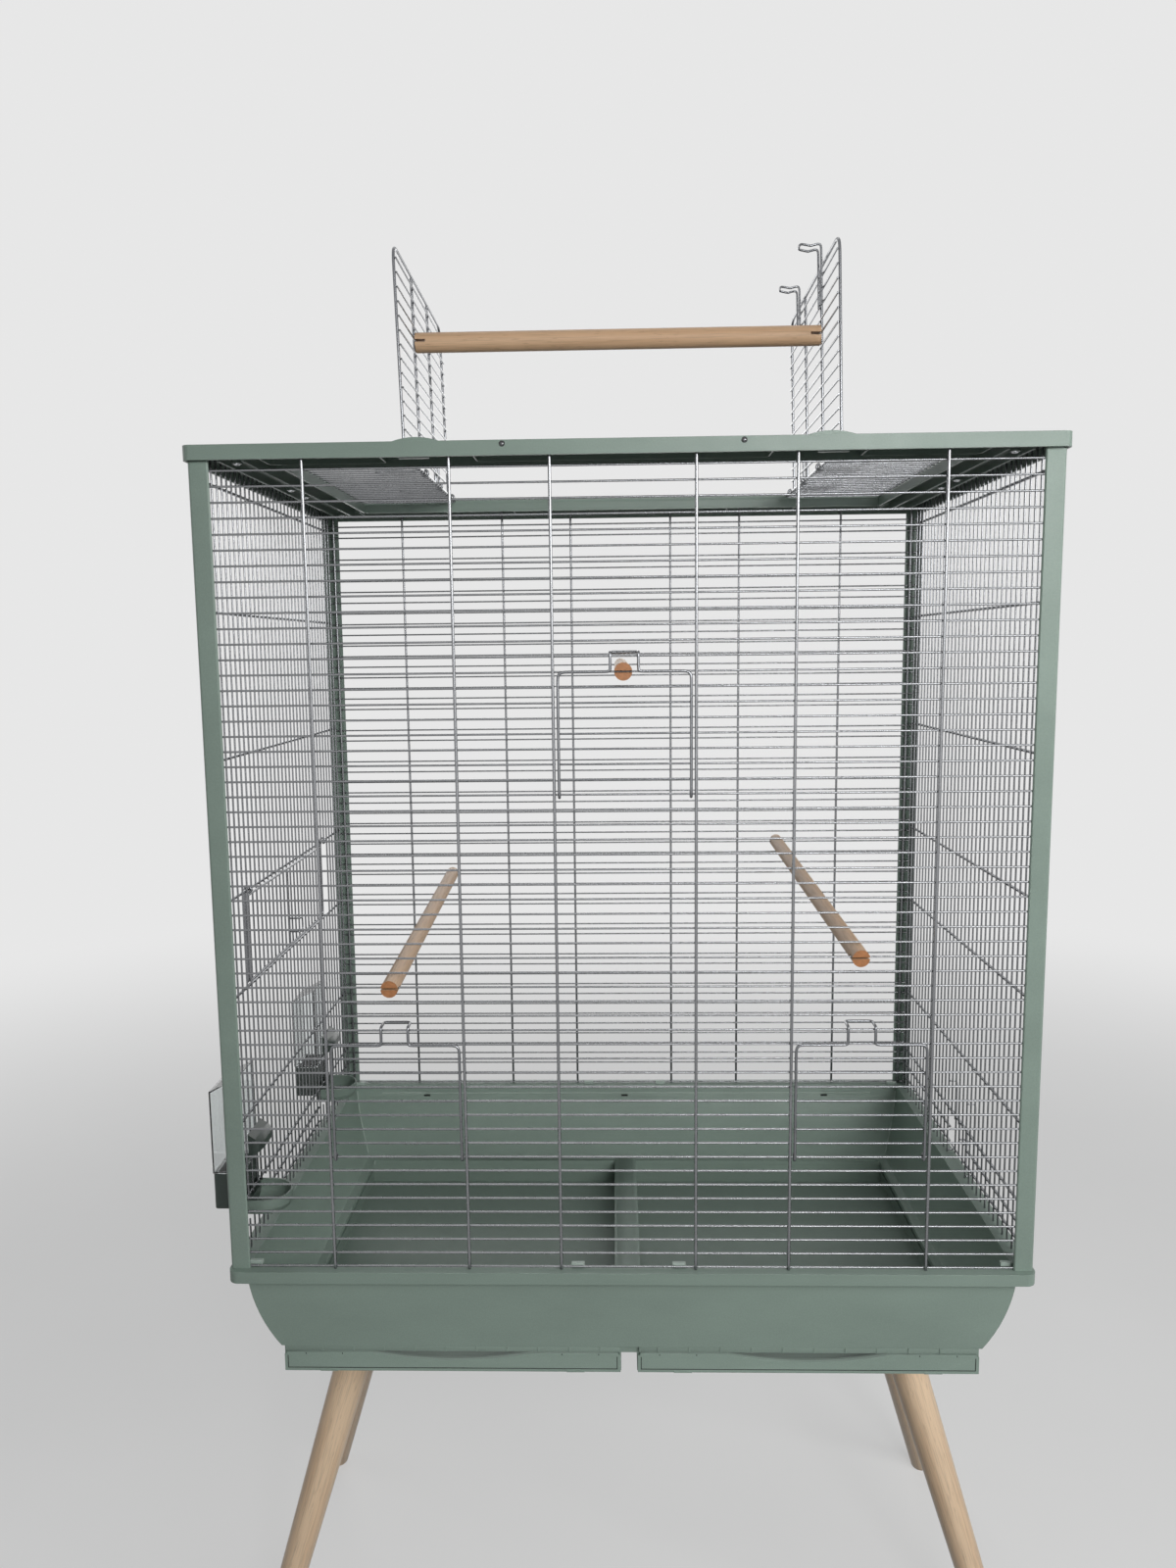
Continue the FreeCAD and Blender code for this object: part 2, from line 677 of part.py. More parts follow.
def top_frame():
    """A hollow moulded ring: skirt, deck, raised inner band, ribs, screw bosses and thumb tabs."""
    ox, oy = half_w + frame_overhang_x, half_d + frame_overhang_y
    cx, cy = ox - frame_crown_inset_x, oy - frame_crown_inset_y
    t = frame_wall
    body = rounded_block(ox, -oy, oy, frame_z, deck_z, frame_corner)
    bevel = frame_crown_bevel
    crown = ring_solid([rounded_ring(cx, cy, frame_corner, deck_z - t),
                        rounded_ring(cx, cy, frame_corner, crown_z - bevel),
                        rounded_ring(cx - bevel, cy - bevel, frame_corner - bevel, crown_z)])
    body = body.fuse(crown)
    body = body.cut(rounded_block(ox - t, t - oy, oy - t, frame_z - 1, deck_z - t, frame_corner - t))
    inner_x, inner_y = cx - t - bevel, cy - t - bevel
    body = body.cut(box(-inner_x, inner_x, -inner_y, inner_y, frame_z, crown_z - t))
    wall_x, wall_y = frame_in_x + t, frame_in_y + t
    wall_foot = frame_z + frame_inner_lift
    body = body.fuse(box(-wall_x, wall_x, -wall_y, wall_y, wall_foot, crown_z))
    extras = []
    thumb_radius = (thumb_half_width ** 2 + thumb_rise ** 2) / (2 * thumb_rise)
    for s in (-1, 1):
        foot = V(s * thumb_x, t - cy + bevel, crown_z + thumb_rise - thumb_radius)
        disc = Part.makeCylinder(thumb_radius, t, foot, Y_AXIS)
        extras.append(disc.common(box(-ox, ox, -oy, 0, crown_z - t / 2, crown_z + 2 * thumb_rise)))
        for i in frame_rib_places:
            x, y = i * cage_width / 4, i * cage_depth / 4
            y0, y1 = sorted((s * (frame_in_y + t / 2), s * (inner_y + t / 2)))
            extras.append(box(x - t / 2, x + t / 2, y0, y1, deck_z - t, crown_z - t / 2))
            extras.append(side_box(s, frame_in_x + t / 2, inner_x + t / 2, y - t / 2, y + t / 2,
                                   deck_z - t, crown_z - t / 2))
        for inset, under in zip(frame_rail_insets, (deck_z, crown_z)):
            extras.append(side_box(s, ox - inset - t / 2, ox - inset + t / 2, -inner_y, inner_y,
                                   wall_foot, under - t / 2))
    for at in frame_bosses():
        stations = [(frame_z + frame_boss_lift, frame_boss_radius), (crown_z - t / 2, frame_boss_radius)]
        extras.append(turned(at, Z_AXIS, stations, small_sides))
    body = body.multiFuse(extras)
    body = body.cut(box(-frame_in_x, frame_in_x, -frame_in_y, frame_in_y, frame_z - 1, crown_z + 1))
    step_x, step_y = frame_in_x + frame_rebate, frame_in_y + frame_rebate
    body = body.cut(box(-step_x, step_x, -step_y, step_y, roof_bar_z - bar_wire / 2, crown_z + 1))
    return [body.removeSplitter()]


# ---------------------------------------------------------------- base
def wall_arc(top, foot, z0, z1):
    """A curved wall line in the XZ plane, bulging outward."""
    middle = V(foot + (top - foot) * 0.66, 0, z0 + (z1 - z0) * 0.42)
    return Part.Arc(V(top, 0, z1), middle, V(foot, 0, z0)).toShape()


def bowl(inset, z0, z1):
    """The tub's outside, or its inside with an inset: curved ends and rear, flat front."""
    xt, xb = half_w - tub_end_inset_top - inset, half_w - tub_end_inset_bottom - inset
    yt, yb = half_d - tub_rear_inset_top - inset, half_d - tub_rear_inset_bottom - inset
    front = inset - tub_front
    right = wall_arc(xt, xb, z0, z1)
    top, foot = Part.makeLine(V(-xt, 0, z1), V(xt, 0, z1)), Part.makeLine(V(-xb, 0, z0), V(xb, 0, z0))
    edges = Part.__sortEdges__([top, right, foot, right.mirror(V(0, 0, 0), X_AXIS)])
    across = Part.Face(Part.Wire(edges))
    across.translate(V(0, -cage_depth, 0))
    top, foot = Part.makeLine(V(front, 0, z1), V(yt, 0, z1)), Part.makeLine(V(front, 0, z0), V(yb, 0, z0))
    wall = Part.makeLine(V(front, 0, z1), V(front, 0, z0))
    edges = Part.__sortEdges__([top, wall_arc(yt, yb, z0, z1), foot, wall])
    along = Part.Face(Part.Wire(edges))
    along.rotate(V(0, 0, 0), Z_AXIS, 90)
    along.translate(V(-cage_width, 0, 0))
    return across.extrude(V(0, 2 * cage_depth, 0)).common(along.extrude(V(2 * cage_width, 0, 0)))


def base_tub():
    """Rim, curved tub, ledge and bridge over the drawers, and the two open-fronted drawer bays."""
    t = tub_wall
    rim_under = rim_z - rim_height
    rx = half_w + rim_overhang
    ry = half_d + rim_overhang_front
    shell = rounded_block(rx, -ry, ry, rim_under, rim_z, rim_corner)
    shell = shell.cut(rounded_block(rx - t, t - ry, ry - t, rim_under - 1, rim_z - t, rim_corner - t))
    shell = shell.fuse(bowl(0, tub_z, rim_z))
    floor = tub_z + ledge_thickness
    shell = shell.fuse(box(-bay_x, bay_x, -bay_front, bay_rear, bay_z, floor))
    inside = bowl(t, tub_z, rim_z).common(box(-rx, rx, -ry, ry, floor, rim_z + 1))
    shell = shell.cut(inside)
    channel = bridge_channel
    shell = shell.cut(box(-channel, channel, -ry, bay_rear + 1, bay_z - 1, tub_z - bridge_depth))
    side = bridge_channel + bay_wall
    for s in (-1, 1):
        shell = shell.cut(side_box(s, side, bay_x - t, -ry, bay_rear - t, bay_z + bay_wall, tub_z))
        shell = shell.cut(side_box(s, side + ledge, bay_x - t - ledge, t + ledge - tub_front,
                                   bay_rear - t - ledge_rear, tub_z - 1, floor + 1))
    for x in (-notch_x, 0, notch_x):
        z, half = rim_z - notch_drop, notch_width / 2
        notch = box(x - half, x + half, tub_front / 2, half_d, z - notch_height, z)
        shell = shell.cut(notch.common(bowl(notch_skin, tub_z, rim_z)))
    foot, low, high = side + ledge, tub_z + t / 2, floor + divider_height
    outline = [V(-foot, 0, low), V(foot, 0, low), V(foot, 0, floor), V(divider_half, 0, high)]
    outline += [V(-divider_half, 0, high), V(-foot, 0, floor)]
    divider = Part.Face(Part.makePolygon(outline + outline[:1]))
    divider.translate(V(0, t / 2 - tub_front, 0))
    extras = [divider.extrude(V(0, bay_rear + tub_front - t, 0))]
    count = int((bay_x - side) // rib_pitch)
    for s in (-1, 1):
        for i in range(count):
            x, half = side + rib_pitch * (i + 0.6), rib_thickness / 2
            extras.append(side_box(s, x - half, x + half, -tub_front, ledge - tub_front,
                                   tub_z - drawer_slot + rib_gap, tub_z + t / 2))
    return [shell.multiFuse(extras).removeSplitter()]


def drawer(side):
    """A shallow tray with a flush front and a smile-shaped finger recess in its top edge."""
    g, t = drawer_gap, drawer_wall
    x0, x1 = bridge_channel + bay_wall + g, bay_x - tub_wall - g
    face0, face1 = bridge_channel + g, bay_x - g
    y0, y1 = -tub_front, bay_rear - tub_wall - g
    z0, z1 = bay_z + bay_wall + g, tub_z - drawer_slot
    back = y0 + drawer_front
    solid = box(x0, x1, back - 1, y1, z0, z1).fuse(box(face0, face1, y0, back, bay_z + g, z1))
    solid = solid.cut(box(x0 + t, x1 - t, back + t, y1 - t, z0 + t, z1 + 1))
    radius = (recess_width ** 2 / 4 + recess_depth ** 2) / (2 * recess_depth)
    centre = V(recess_x, y0 - 1, z1 - recess_depth + radius)
    scoop = Part.makeCylinder(radius, drawer_front + t + 2, centre, Y_AXIS)
    solid = solid.cut(scoop)
    for x in (face0, face1 - t):
        solid = solid.cut(box(x, x + t, y0 - 1, back + 1, z1 - t, z1 + 1))
    grips = []
    for x in (face0 + drawer_grip_inset, face1 - drawer_grip_inset):
        grips.append(box(x - drawer_grip_half, x + drawer_grip_half, y0 - drawer_grip_depth, y0 + t / 2,
                         bay_z + g, bay_z + g + drawer_grip_height))
    solid = solid.multiFuse(grips).removeSplitter()
    return [solid.mirror(V(0, 0, 0), X_AXIS) if side < 0 else solid]


def rim_clips():
    """Small tabs on the rim that hold the feet of the panels."""
    back = front_bar_y - bar_wire / 2 - support_wire - panel_gap
    inner = tub_front - tub_wall
    outer = half_w - clip_inset
    clips = []
    for s in (-1, 1):
        for side in (-1, 1):
            y0, y1 = sorted((side * back, side * (back - clip_depth)))
            clips.append(side_box(s, outer - clip_half, outer + clip_half, y0, y1, rim_z, rim_z + clip_rise))
        y = front_bar_y - bar_wire / 2 - play
        x0, x1 = clip_x - clip_half, clip_x + clip_half
        clips.append(side_box(s, x0, x1, y - clip_depth, y, rim_z, rim_z + clip_rise))
        clips.append(side_box(s, x0, x1, -inner, clip_depth - inner, rim_z - clip_hold, rim_z + clip_rise))
    return clips


# ---------------------------------------------------------------- stand
def leg_line(sx, sy):
    """The top of a leg's axis, at the underside of the bays, and the way it runs down."""
    y = leg_inset_front - half_d if sy < 0 else half_d - leg_inset_rear
    top = V(sx * (half_w - leg_inset_x), y, bay_z)
    foot = top + V(sx * leg_splay_x, sy * leg_splay_y, -bay_z)
    return top, foot


def leg_blank(sx, sy):
    """A tapered round leg with a rounded foot, cut flat where it stands on the floor."""
    top, foot = leg_line(sx, sy)
    run, full = (foot - top).normalize(), (foot - top).Length
    r, bevel = leg_radius_foot, foot_round / 4
    stations = [(leg_seat, leg_radius_top), (full - foot_round, r), (full - bevel, r - bevel)]
    stations.append((full + foot_round / 2, r - foot_round))
    blank = turned(top, run, stations)
    return blank.cut(box(foot.x - 2 * r, foot.x + 2 * r, foot.y - 2 * r, foot.y + 2 * r, -2 * r, 0))


def stud(sx, sy):
    top, foot = leg_line(sx, sy)
    stations = [(leg_seat / 2, stud_radius), (leg_seat / 2 + stud_length, stud_radius)]
    return turned(top, (foot - top).normalize(), stations, small_sides)


def leg_socket(sx, sy):
    """An angled cup under a fixing plate; the leg turns up into it on its stud."""
    top, foot = leg_line(sx, sy)
    half = socket_plate / 2
    plate = rounded_block(half, -half, half, bay_z - socket_plate_thickness, bay_z,
                          socket_plate_round)
    plate.translate(V(top.x, top.y, 0))
    radius = leg_radius_top + socket_wall
    cup = turned(top, (foot - top).normalize(), [(-radius, radius), (socket_depth, radius)])
    cup = cup.cut(box(top.x - half, top.x + half, top.y - half, top.y + half, bay_z, bay_z + half))
    return [plate.fuse(cup).cut(leg_blank(sx, sy)).cut(stud(sx, sy)).removeSplitter()]


# ---------------------------------------------------------------- feeders and hatch
def feeder_span():
    """Tip of the cup, inner and outer face of the collar, in X, and the underside in Z."""
    inner, outer = -side_outer_x - feeder_gap, -half_w - feeder_reach_out
    return feeder_reach_in - side_bar_x, inner, outer, rim_z + feeder_lift


def feeder_ring(y, inset, x_out, z):
    """The outline of a feeder: straight sides and a half-round nose inside the cage."""
    r = feeder_half - inset
    nose = feeder_span()[0] - feeder_half
    corners = [V(x_out, y - r, z)]
    for k in range(small_sides + 1):
        a = math.pi * (k / small_sides - 0.5)
        corners.append(V(nose + r * math.cos(a), y + r * math.sin(a), z))
    return corners + [V(x_out, y + r, z)]


def feeder_bowl(y, inset, x_out, z0, z1):
    """A feeder's outside, or its inside with an inset, with a rounded lower edge."""
    steps = [(feeder_round, 0), (feeder_round * 0.3, feeder_round * 0.35), (0, feeder_round)]
    rings = [feeder_ring(y, inset + i, x_out, z0 + rise) for i, rise in steps]
    return ring_solid(rings + [feeder_ring(y, inset, x_out, z1)])


def feeder_base(y):
    """A cup that reaches in through the side panel, with a collar for the hopper outside it."""
    tip, inner, outer, z0 = feeder_span()
    t, r = feeder_wall, feeder_half
    top, foot = z0 + feeder_height, z0 + feeder_collar_lift
    collar_top = foot + feeder_collar_height
    body = feeder_bowl(y, 0, inner - t, z0, top)
    collar = box(outer, inner, y - r, y + r, foot, collar_top)
    upright = [e for e in upright_edges(collar) if e.CenterOfMass.x < outer + 0.01]
    collar = collar.makeFillet(feeder_round / 2, upright)
    body = body.fuse(collar).cut(feeder_bowl(y, t, inner + t, z0 + t, top + 1))
    body = body.cut(box(outer + t, inner - t, y - r + t, y + r - t, foot + t, collar_top + 1))
    mouth = r - 3 * t
    body = body.cut(box(inner - 2 * t, inner + 2 * t, y - mouth, y + mouth, foot + t, foot + hopper_seat + t))
    rests = []
    for s in (-1, 1):
        y0, y1 = sorted((y + s * (r - t / 2), y + s * (r - 2 * t)))
        rests.append(box(outer + t / 2, inner - t / 2, y0, y1, foot + t / 2, foot + hopper_seat))
    return [body.multiFuse(rests).removeSplitter()]


def hopper(y):
    """The clear seed hopper: an open-bottomed shell with a sloping top, plugged into the collar."""
    tip, inner, outer, z0 = feeder_span()
    collar_foot = z0 + feeder_collar_lift
    foot, shoulder = collar_foot + hopper_seat + hopper_gap, collar_foot + feeder_collar_height + hopper_gap
    high = shoulder + hopper_rise
    depth = inner - outer

    def shell(inset, low, top):
        x0, x1, r = outer + inset, inner - inset, feeder_half - inset
        outline = [V(x0, y - r, low), V(x1, y - r, low), V(x1, y - r, top)]
        outline.append(V(x0, y - r, top - depth * hopper_slope))
        return Part.Face(Part.makePolygon(outline + outline[:1])).extrude(V(0, 2 * r, 0))

    plug = feeder_wall + hopper_gap
    outside = shell(0, shoulder, high).fuse(box(outer + plug, inner - plug, y - feeder_half + plug,
                                                y + feeder_half - plug, foot, shoulder + 1))
    plug += hopper_wall
    inside = shell(hopper_wall, shoulder + hopper_wall, high - hopper_wall)
    inside = inside.fuse(box(outer + plug, inner - plug, y - feeder_half + plug, y + feeder_half - plug,
                             foot - 1, shoulder + 2 * hopper_wall))
    return [outside.cut(inside).removeSplitter()]


def feeder_guards():
    """A small hood clipped to the side bars above each cup, thinner towards its tip."""
    x0 = bar_wire / 2 - side_bar_x
    tip, z0 = x0 + guard_reach, rim_z + guard_height
    fall = (guard_tall - guard_thick) / 2
    outline = [V(x0, 0, z0), V(tip, 0, z0 + fall), V(tip, 0, z0 + fall + guard_thick)]
    outline.append(V(x0, 0, z0 + guard_tall))
    guards = []
    for y in feeder_places:
        wedge = Part.Face(Part.makePolygon(outline + outline[:1]))
        wedge.translate(V(0, y - guard_half, 0))
        block = box(x0, tip, y - guard_half, y + guard_half, z0, z0 + guard_tall)
        round_edges = [e for e in upright_edges(block) if e.CenterOfMass.x > x0 + 1]
        plan = block.makeFillet(guard_half * 0.6, round_edges)
        guards.append(wedge.extrude(V(0, 2 * guard_half, 0)).common(plan))
    return guards


def hatch():
    """A small wire hatch over the opening in the right side panel; it slides up in its guides."""
    x_bar = side_outer_x + play + bar_wire / 2
    x_rail = x_bar + bar_wire
    z0 = rim_z + hatch_foot
    z1 = z0 + hatch_height
    reach = hatch_half + 2 * support_wire
    solids = []
    for i in range(hatch_bars):
        y = hatch_y + (i - (hatch_bars - 1) / 2) * side_bar_pitch
        solids.append(bar_up(z0, z1, x_bar, y, bar_wire, X_AXIS))
    for z in (z0 + bar_wire, z1 - bar_wire):
        solids.append(bar_y(hatch_y - reach, hatch_y + reach, x_rail, z, bar_wire))
    start, tip, z = x_bar + bar_wire / 2, x_bar + pull_reach, (z0 + z1) / 2
    y0, y1 = hatch_y - side_bar_pitch / 2, hatch_y + side_bar_pitch / 2
    pull = [(start, y0, z), (tip, y0, z), (tip, y1, z), (start, y1, z)]
    solids.append(wire_solid(bend(pull, bar_wire, 1), bar_wire, Z_AXIS, bar_sides))
    return solids


def hatch_guides():
    """Two upright wires, bent in at both ends to the side bars, that hold the hatch's rails."""
    x0 = side_bar_x + bar_wire / 2
    x1 = side_outer_x + 3 * bar_wire + 2 * play - bar_wire / 2
    z0 = rim_z + hatch_foot - bar_wire / 2 - play
    z1 = rim_z + hatch_foot + hatch_height + hatch_travel + bar_wire
    guides = []
    for s in (-1, 1):
        y = hatch_y + s * hatch_half
        path = [(x0, y, z0), (x1, y, z0), (x1, y, z1), (x0, y, z1)]
        guides.append(wire_solid(bend(path, bar_wire, 1), bar_wire, Z_AXIS, bar_sides))
    return guides


# ---------------------------------------------------------------- the assembly
def build():
    corners = [(sx, sy) for sx in (-1, 1) for sy in (-1, 1)]
    nodes = {"base_tub": base_tub(), "drawer_left": drawer(-1), "drawer_right": drawer(1)}
    for sx, sy in corners:
        place = ("front" if sy < 0 else "rear") + ("_left" if sx < 0 else "_right")
        nodes[f"corner_post_{place}"] = corner_post(sx, sy)
        nodes[f"leg_{place}"] = [leg_blank(sx, sy).cut(stud(sx, sy))]
        nodes[f"leg_socket_{place}"] = leg_socket(sx, sy)
    nodes["leg_studs"] = [stud(sx, sy) for sx, sy in corners]
    nodes["top_frame"] = top_frame()
    nodes["rim_clips"] = rim_clips()
    doors = front_openings()
    nodes["front_panel"] = face_panel(-1, doors.values())
    nodes["back_panel"] = face_panel(1, [])
    nodes["left_panel"] = side_panel(-1, [(y, feeder_opening) for y in feeder_places], door=True)
    nodes["right_panel"] = side_panel(1, [(hatch_y, hatch_half - bar_wire)]) + hatch_guides()
    nodes["roof_panel"] = roof_panel()
    for name, (x0, x1, row) in doors.items():
        nodes[name] = front_door(x0, x1, row)
    nodes["side_door"] = side_door()
    nodes["side_hatch"] = hatch()
    nodes["roof_flap_left"] = roof_flap(-1)
    nodes["roof_flap_right"] = roof_flap(1)
    nodes["roof_perch"] = roof_perch()
    nodes.update(cage_perches())
    for name, y in zip(("front", "rear"), feeder_places):
        nodes[f"feeder_{name}"] = feeder_base(y)
        nodes[f"hopper_{name}"] = hopper(y)
    nodes["feeder_guards"] = feeder_guards()
    return nodes


os.makedirs("parts", exist_ok=True)
for name, solids in build().items():
    Part.makeCompound(solids).exportStep(f"parts/{name}.step")
    sound = all(s.isValid() and s.Volume > 0 for s in solids)
    print(f"{name:24s} {len(solids):4d} solids {'ok' if sound else 'FAULTY'}")
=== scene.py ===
import json
import math

import bmesh
import bpy
from mathutils import Matrix, Vector
from mathutils.bvhtree import BVHTree


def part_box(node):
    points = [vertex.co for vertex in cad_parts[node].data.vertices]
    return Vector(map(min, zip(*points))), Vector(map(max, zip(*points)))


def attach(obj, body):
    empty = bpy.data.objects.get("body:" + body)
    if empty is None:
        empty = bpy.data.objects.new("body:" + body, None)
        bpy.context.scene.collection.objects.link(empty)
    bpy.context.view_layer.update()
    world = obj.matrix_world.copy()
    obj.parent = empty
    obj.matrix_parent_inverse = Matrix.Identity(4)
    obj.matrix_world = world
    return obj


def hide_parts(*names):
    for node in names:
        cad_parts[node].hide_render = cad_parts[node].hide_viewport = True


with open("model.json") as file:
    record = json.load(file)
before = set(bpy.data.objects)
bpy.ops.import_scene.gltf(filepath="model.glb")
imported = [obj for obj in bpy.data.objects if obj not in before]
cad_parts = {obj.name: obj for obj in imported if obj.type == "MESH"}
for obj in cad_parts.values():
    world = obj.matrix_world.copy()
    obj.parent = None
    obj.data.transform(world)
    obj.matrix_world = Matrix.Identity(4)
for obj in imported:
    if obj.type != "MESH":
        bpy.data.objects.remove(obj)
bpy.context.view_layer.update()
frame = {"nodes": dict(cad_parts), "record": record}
nodes = frame["nodes"]

# ---------------------------------------------------------------- sizes, in metres
WELD = 1e-6                     # corners closer than this are one corner
FLAT = math.radians(0.3)        # faces turned less than this against each other are one flat
SAME_FLAT = 0.99995             # cosine of the turn between two triangles of one flat
SHARP = math.radians(32)        # edges turned more than this stay sharp
EDGE = 0.0005                   # how far the sharp edges of mouldings are rounded
WIRE_SIDES = 12
BEAD_SIDES = 8
PIN_SIDES = 24
WASHER_SIDES = 32
ROUND_SIDES = 64                # legs
BEND_REACH = 0.005              # how far a bend may reach along a wire
BEND_STEPS = 3
SAME_POINT = 1e-5
TIP = 0.35                      # share of a wire's radius that its end is rounded by
INSIDE = 0.985                  # keeps a round inside the flats of the solid that it stands for
BAR = 0.002                     # the close-set bars
BORE = 0.006                    # corners of a leg nearer to its axis than this belong to its stud's bore
FOOT_ROUND = 0.006              # the leg's foot is drawn in by this, over the same length
DOWEL_END = 0.0015              # corners this near to a perch's end are its end

SKIRT = 0.0135                  # height of the top frame's skirt
PIN_X = 0.108
PIN_DROP = 0.0035               # top of the skirt to the pins
PIN_HEAD = (0.0018, 0.0008)     # radius and height, as for the screws
PIN_SEAT = ((0, 0.0027), (0.0004, 0.0025))
SCREW_HEAD = (0.0034, 0.0016)
BOSS_INSET = 0.0375             # outer face of the frame to its screws
BOSS_PLACES = (-0.199, -0.028, 0.028, 0.199)
BOSS_LIFT = 0.003
POCKETS = ((-0.336, -0.223), (-0.138, 0.138), (0.223, 0.336))
POCKET_INSETS = (0.022, 0.060)  # outer face of the frame to the two long walls of its pockets
POCKET_HEIGHTS = (0.0045, SKIRT - 0.001)
POCKET_WALL = 0.0014
POCKET_CORNER = 0.006
POCKET_STEPS = 5                # in each rounded corner
THUMB_X = 0.190
TONGUE_HALF = 0.014
TONGUE = (0.0155, 0.0175, 0.0012)          # its two faces from the frame's front, and its foot
TONGUE_LEDGE = (0.0125, 0.0178, 0.0008, 0.0024)

SCREW_INSET = 0.009             # corner of a leg's fixing plate to its screws
PLATE = 0.004
WASHER = ((0, 0.0055), (0.0009, 0.0055))
HEXAGON = ((0.0009, 0.0040), (0.0034, 0.0040), (0.0039, 0.0034))

RIM = 0.012                     # height of the tub's rim
SLOT_PLACES = (-0.278, 0, 0.278)
SLOT_HALF = 0.0045
RIM_SLOT = (0.0052, 0.0092, 0.0016, 0.0002)    # from the tub's front, and below the rim
REAR_SLOT = (0.0003, 0.0006, 0.0052, 0.0018)   # out of the wall, into it, and below the bead
REAR_SLOT_PROBE = (0.008, 0.0035)              # beside and below a slot's place, where the wall is plain
BEAD = 0.0008                   # along the inner corners of the tub
BEAD_LIFT = 0.0012              # the rear bead above the foot of the rim
BEAD_END = 0.055                # its end from the end of the tub
CORNER_TURN = 0.8               # an inner corner of the tub turns by at least this, in radians
CORNER_BACK = 0.1               # it stands behind this,
CORNER_SIDE = 0.2               # further out than this,
CORNER_TOP = 0.004              # this far below the top of the rim,
CORNER_SHORT = 0.002            # and it is longer than this

RECESS_HALF = 0.0815            # finger recess of a drawer
RECESS_DEPTH = 0.008
RECESS_STEPS = 16               # on each side of its middle
RECESS_BEAD = 0.00035
RECESS_BEAD_DROP = 0.0004
GRIP_DEPTH = 0.0008             # how far the small feet stand out from a drawer's front
LIP_INSET = 0.0007              # the tub's lip over a drawer, behind the drawer's front
LIP = 0.0012                    # its thickness, and its clear air above the drawer
LIP_END = 0.001
DRAWER_SLOT = 0.007             # between a drawer's top edge and the tub
SEAM = 0.0009
SEAM_INSET = 0.0034
SEAM_PROUD = 0.00012            # seams stand out of a drawer's front by this
SEAM_DEPTH = 0.0008
SEAM_ROUND = 0.00005
SLOT_ROUND = 0.0002             # edges of the rear slots and of the lip over the drawers
LIP_TICKS = 9                   # short marks of painted shade along a drawer's top edge
TICK = (0.0004, 0.0021, 0.0004)     # half their width, and their foot and head below the edge
TICK_CLEAR = 0.002              # from the recess

GUARD_REACH = 0.55              # share of a guard's depth that its rounded hood takes
FEEDER_PAINTED_SHADE = (("X", -0.3905, 0.0005), ("Z", 0.5575, -0.0005))    # painted shade: a feeder is darkened outside the bars and above its cup; the cup keeps its own colour
DRAWER_PAINTED_SHADE = (("Y", -0.2290, -0.0003),)                         # painted shade: a drawer is darkened behind its front face, over its inside



# ---------------------------------------------------------------- shader helpers
class Shader:
    """A material with short ways to add and join its nodes."""

    def __init__(self, name):
        self.material = bpy.data.materials.new(name)
        self.material.use_nodes = True
        self.tree = self.material.node_tree
        self.surface = self.tree.nodes["Principled BSDF"]
        coordinates = self.tree.nodes.new("ShaderNodeTexCoord")
        self.place, self.normal = coordinates.outputs["Object"], coordinates.outputs["Normal"]

    def node(self, kind, **settings):
        made = self.tree.nodes.new("ShaderNode" + kind)
        for key, value in settings.items():
            if hasattr(made, key):
                setattr(made, key, value)
            else:
                self.put(made.inputs[key.replace("_", " ")], value)
        return made

    def put(self, socket, value):
        if isinstance(value, bpy.types.NodeSocket):
            self.tree.links.new(value, socket)
        else:
            socket.default_value = value

    def stretched(self, scale):
        made = self.node("Mapping")
        self.put(made.inputs["Vector"], self.place)
        made.inputs["Scale"].default_value = scale
        return made.outputs["Vector"]

    def noise(self, scale, stretch=(1, 1, 1), detail=3.0, rough=0.55, distortion=0.0):
        made = self.node("TexNoise", Scale=scale, Detail=detail, Roughness=rough, Distortion=distortion)
        self.put(made.inputs["Vector"], self.stretched(stretch))
        return made.outputs["Fac"]

    def ramp(self, value, stops):
        made = self.node("ValToRGB")
        self.put(made.inputs["Fac"], value)
        elements = made.color_ramp.elements
        while len(elements) < len(stops):
            elements.new(0.5)
        for element, (at, colour) in zip(elements, stops):
            element.position = at
            element.color = colour if isinstance(colour, tuple) else (colour, colour, colour, 1)
        return made.outputs["Color"]

    def span(self, value, low, high):
        """A value from 0 to 1 spread over a range."""
        made = self.node("MapRange", To_Min=low, To_Max=high)
        self.put(made.inputs["Value"], value)
        return made.outputs["Result"]

    def mix(self, share, a, b, blend="MIX"):
        made = self.node("Mix", data_type="RGBA", blend_type=blend)
        for socket, value in ((made.inputs[0], share), (made.inputs[6], a), (made.inputs[7], b)):
            self.put(socket, value)
        return made.outputs[2]

    def bump(self, height, distance, strength=1.0, under=None):
        made = self.node("Bump", Strength=strength, Distance=distance)
        self.put(made.inputs["Height"], height)
        if under is not None:
            self.put(made.inputs["Normal"], under)
        return made.outputs["Normal"]

    def facing_end(self):
        """1 on faces square to the piece's own Z, 0 along its sides."""
        split = self.node("SeparateXYZ")
        self.put(split.inputs[0], self.normal)
        size = self.node("Math", operation="ABSOLUTE")
        self.put(size.inputs[0], split.outputs["Z"])
        return self.ramp(size.outputs[0], [(0.72, 0.0), (0.86, 1.0)])

    def set(self, **inputs):
        for key, value in inputs.items():
            self.put(self.surface.inputs[key.replace("_", " ")], value)
        return self.material


def tone(colour, share):
    return tuple(min(1.0, c * share) for c in colour[:3]) + (1.0,)


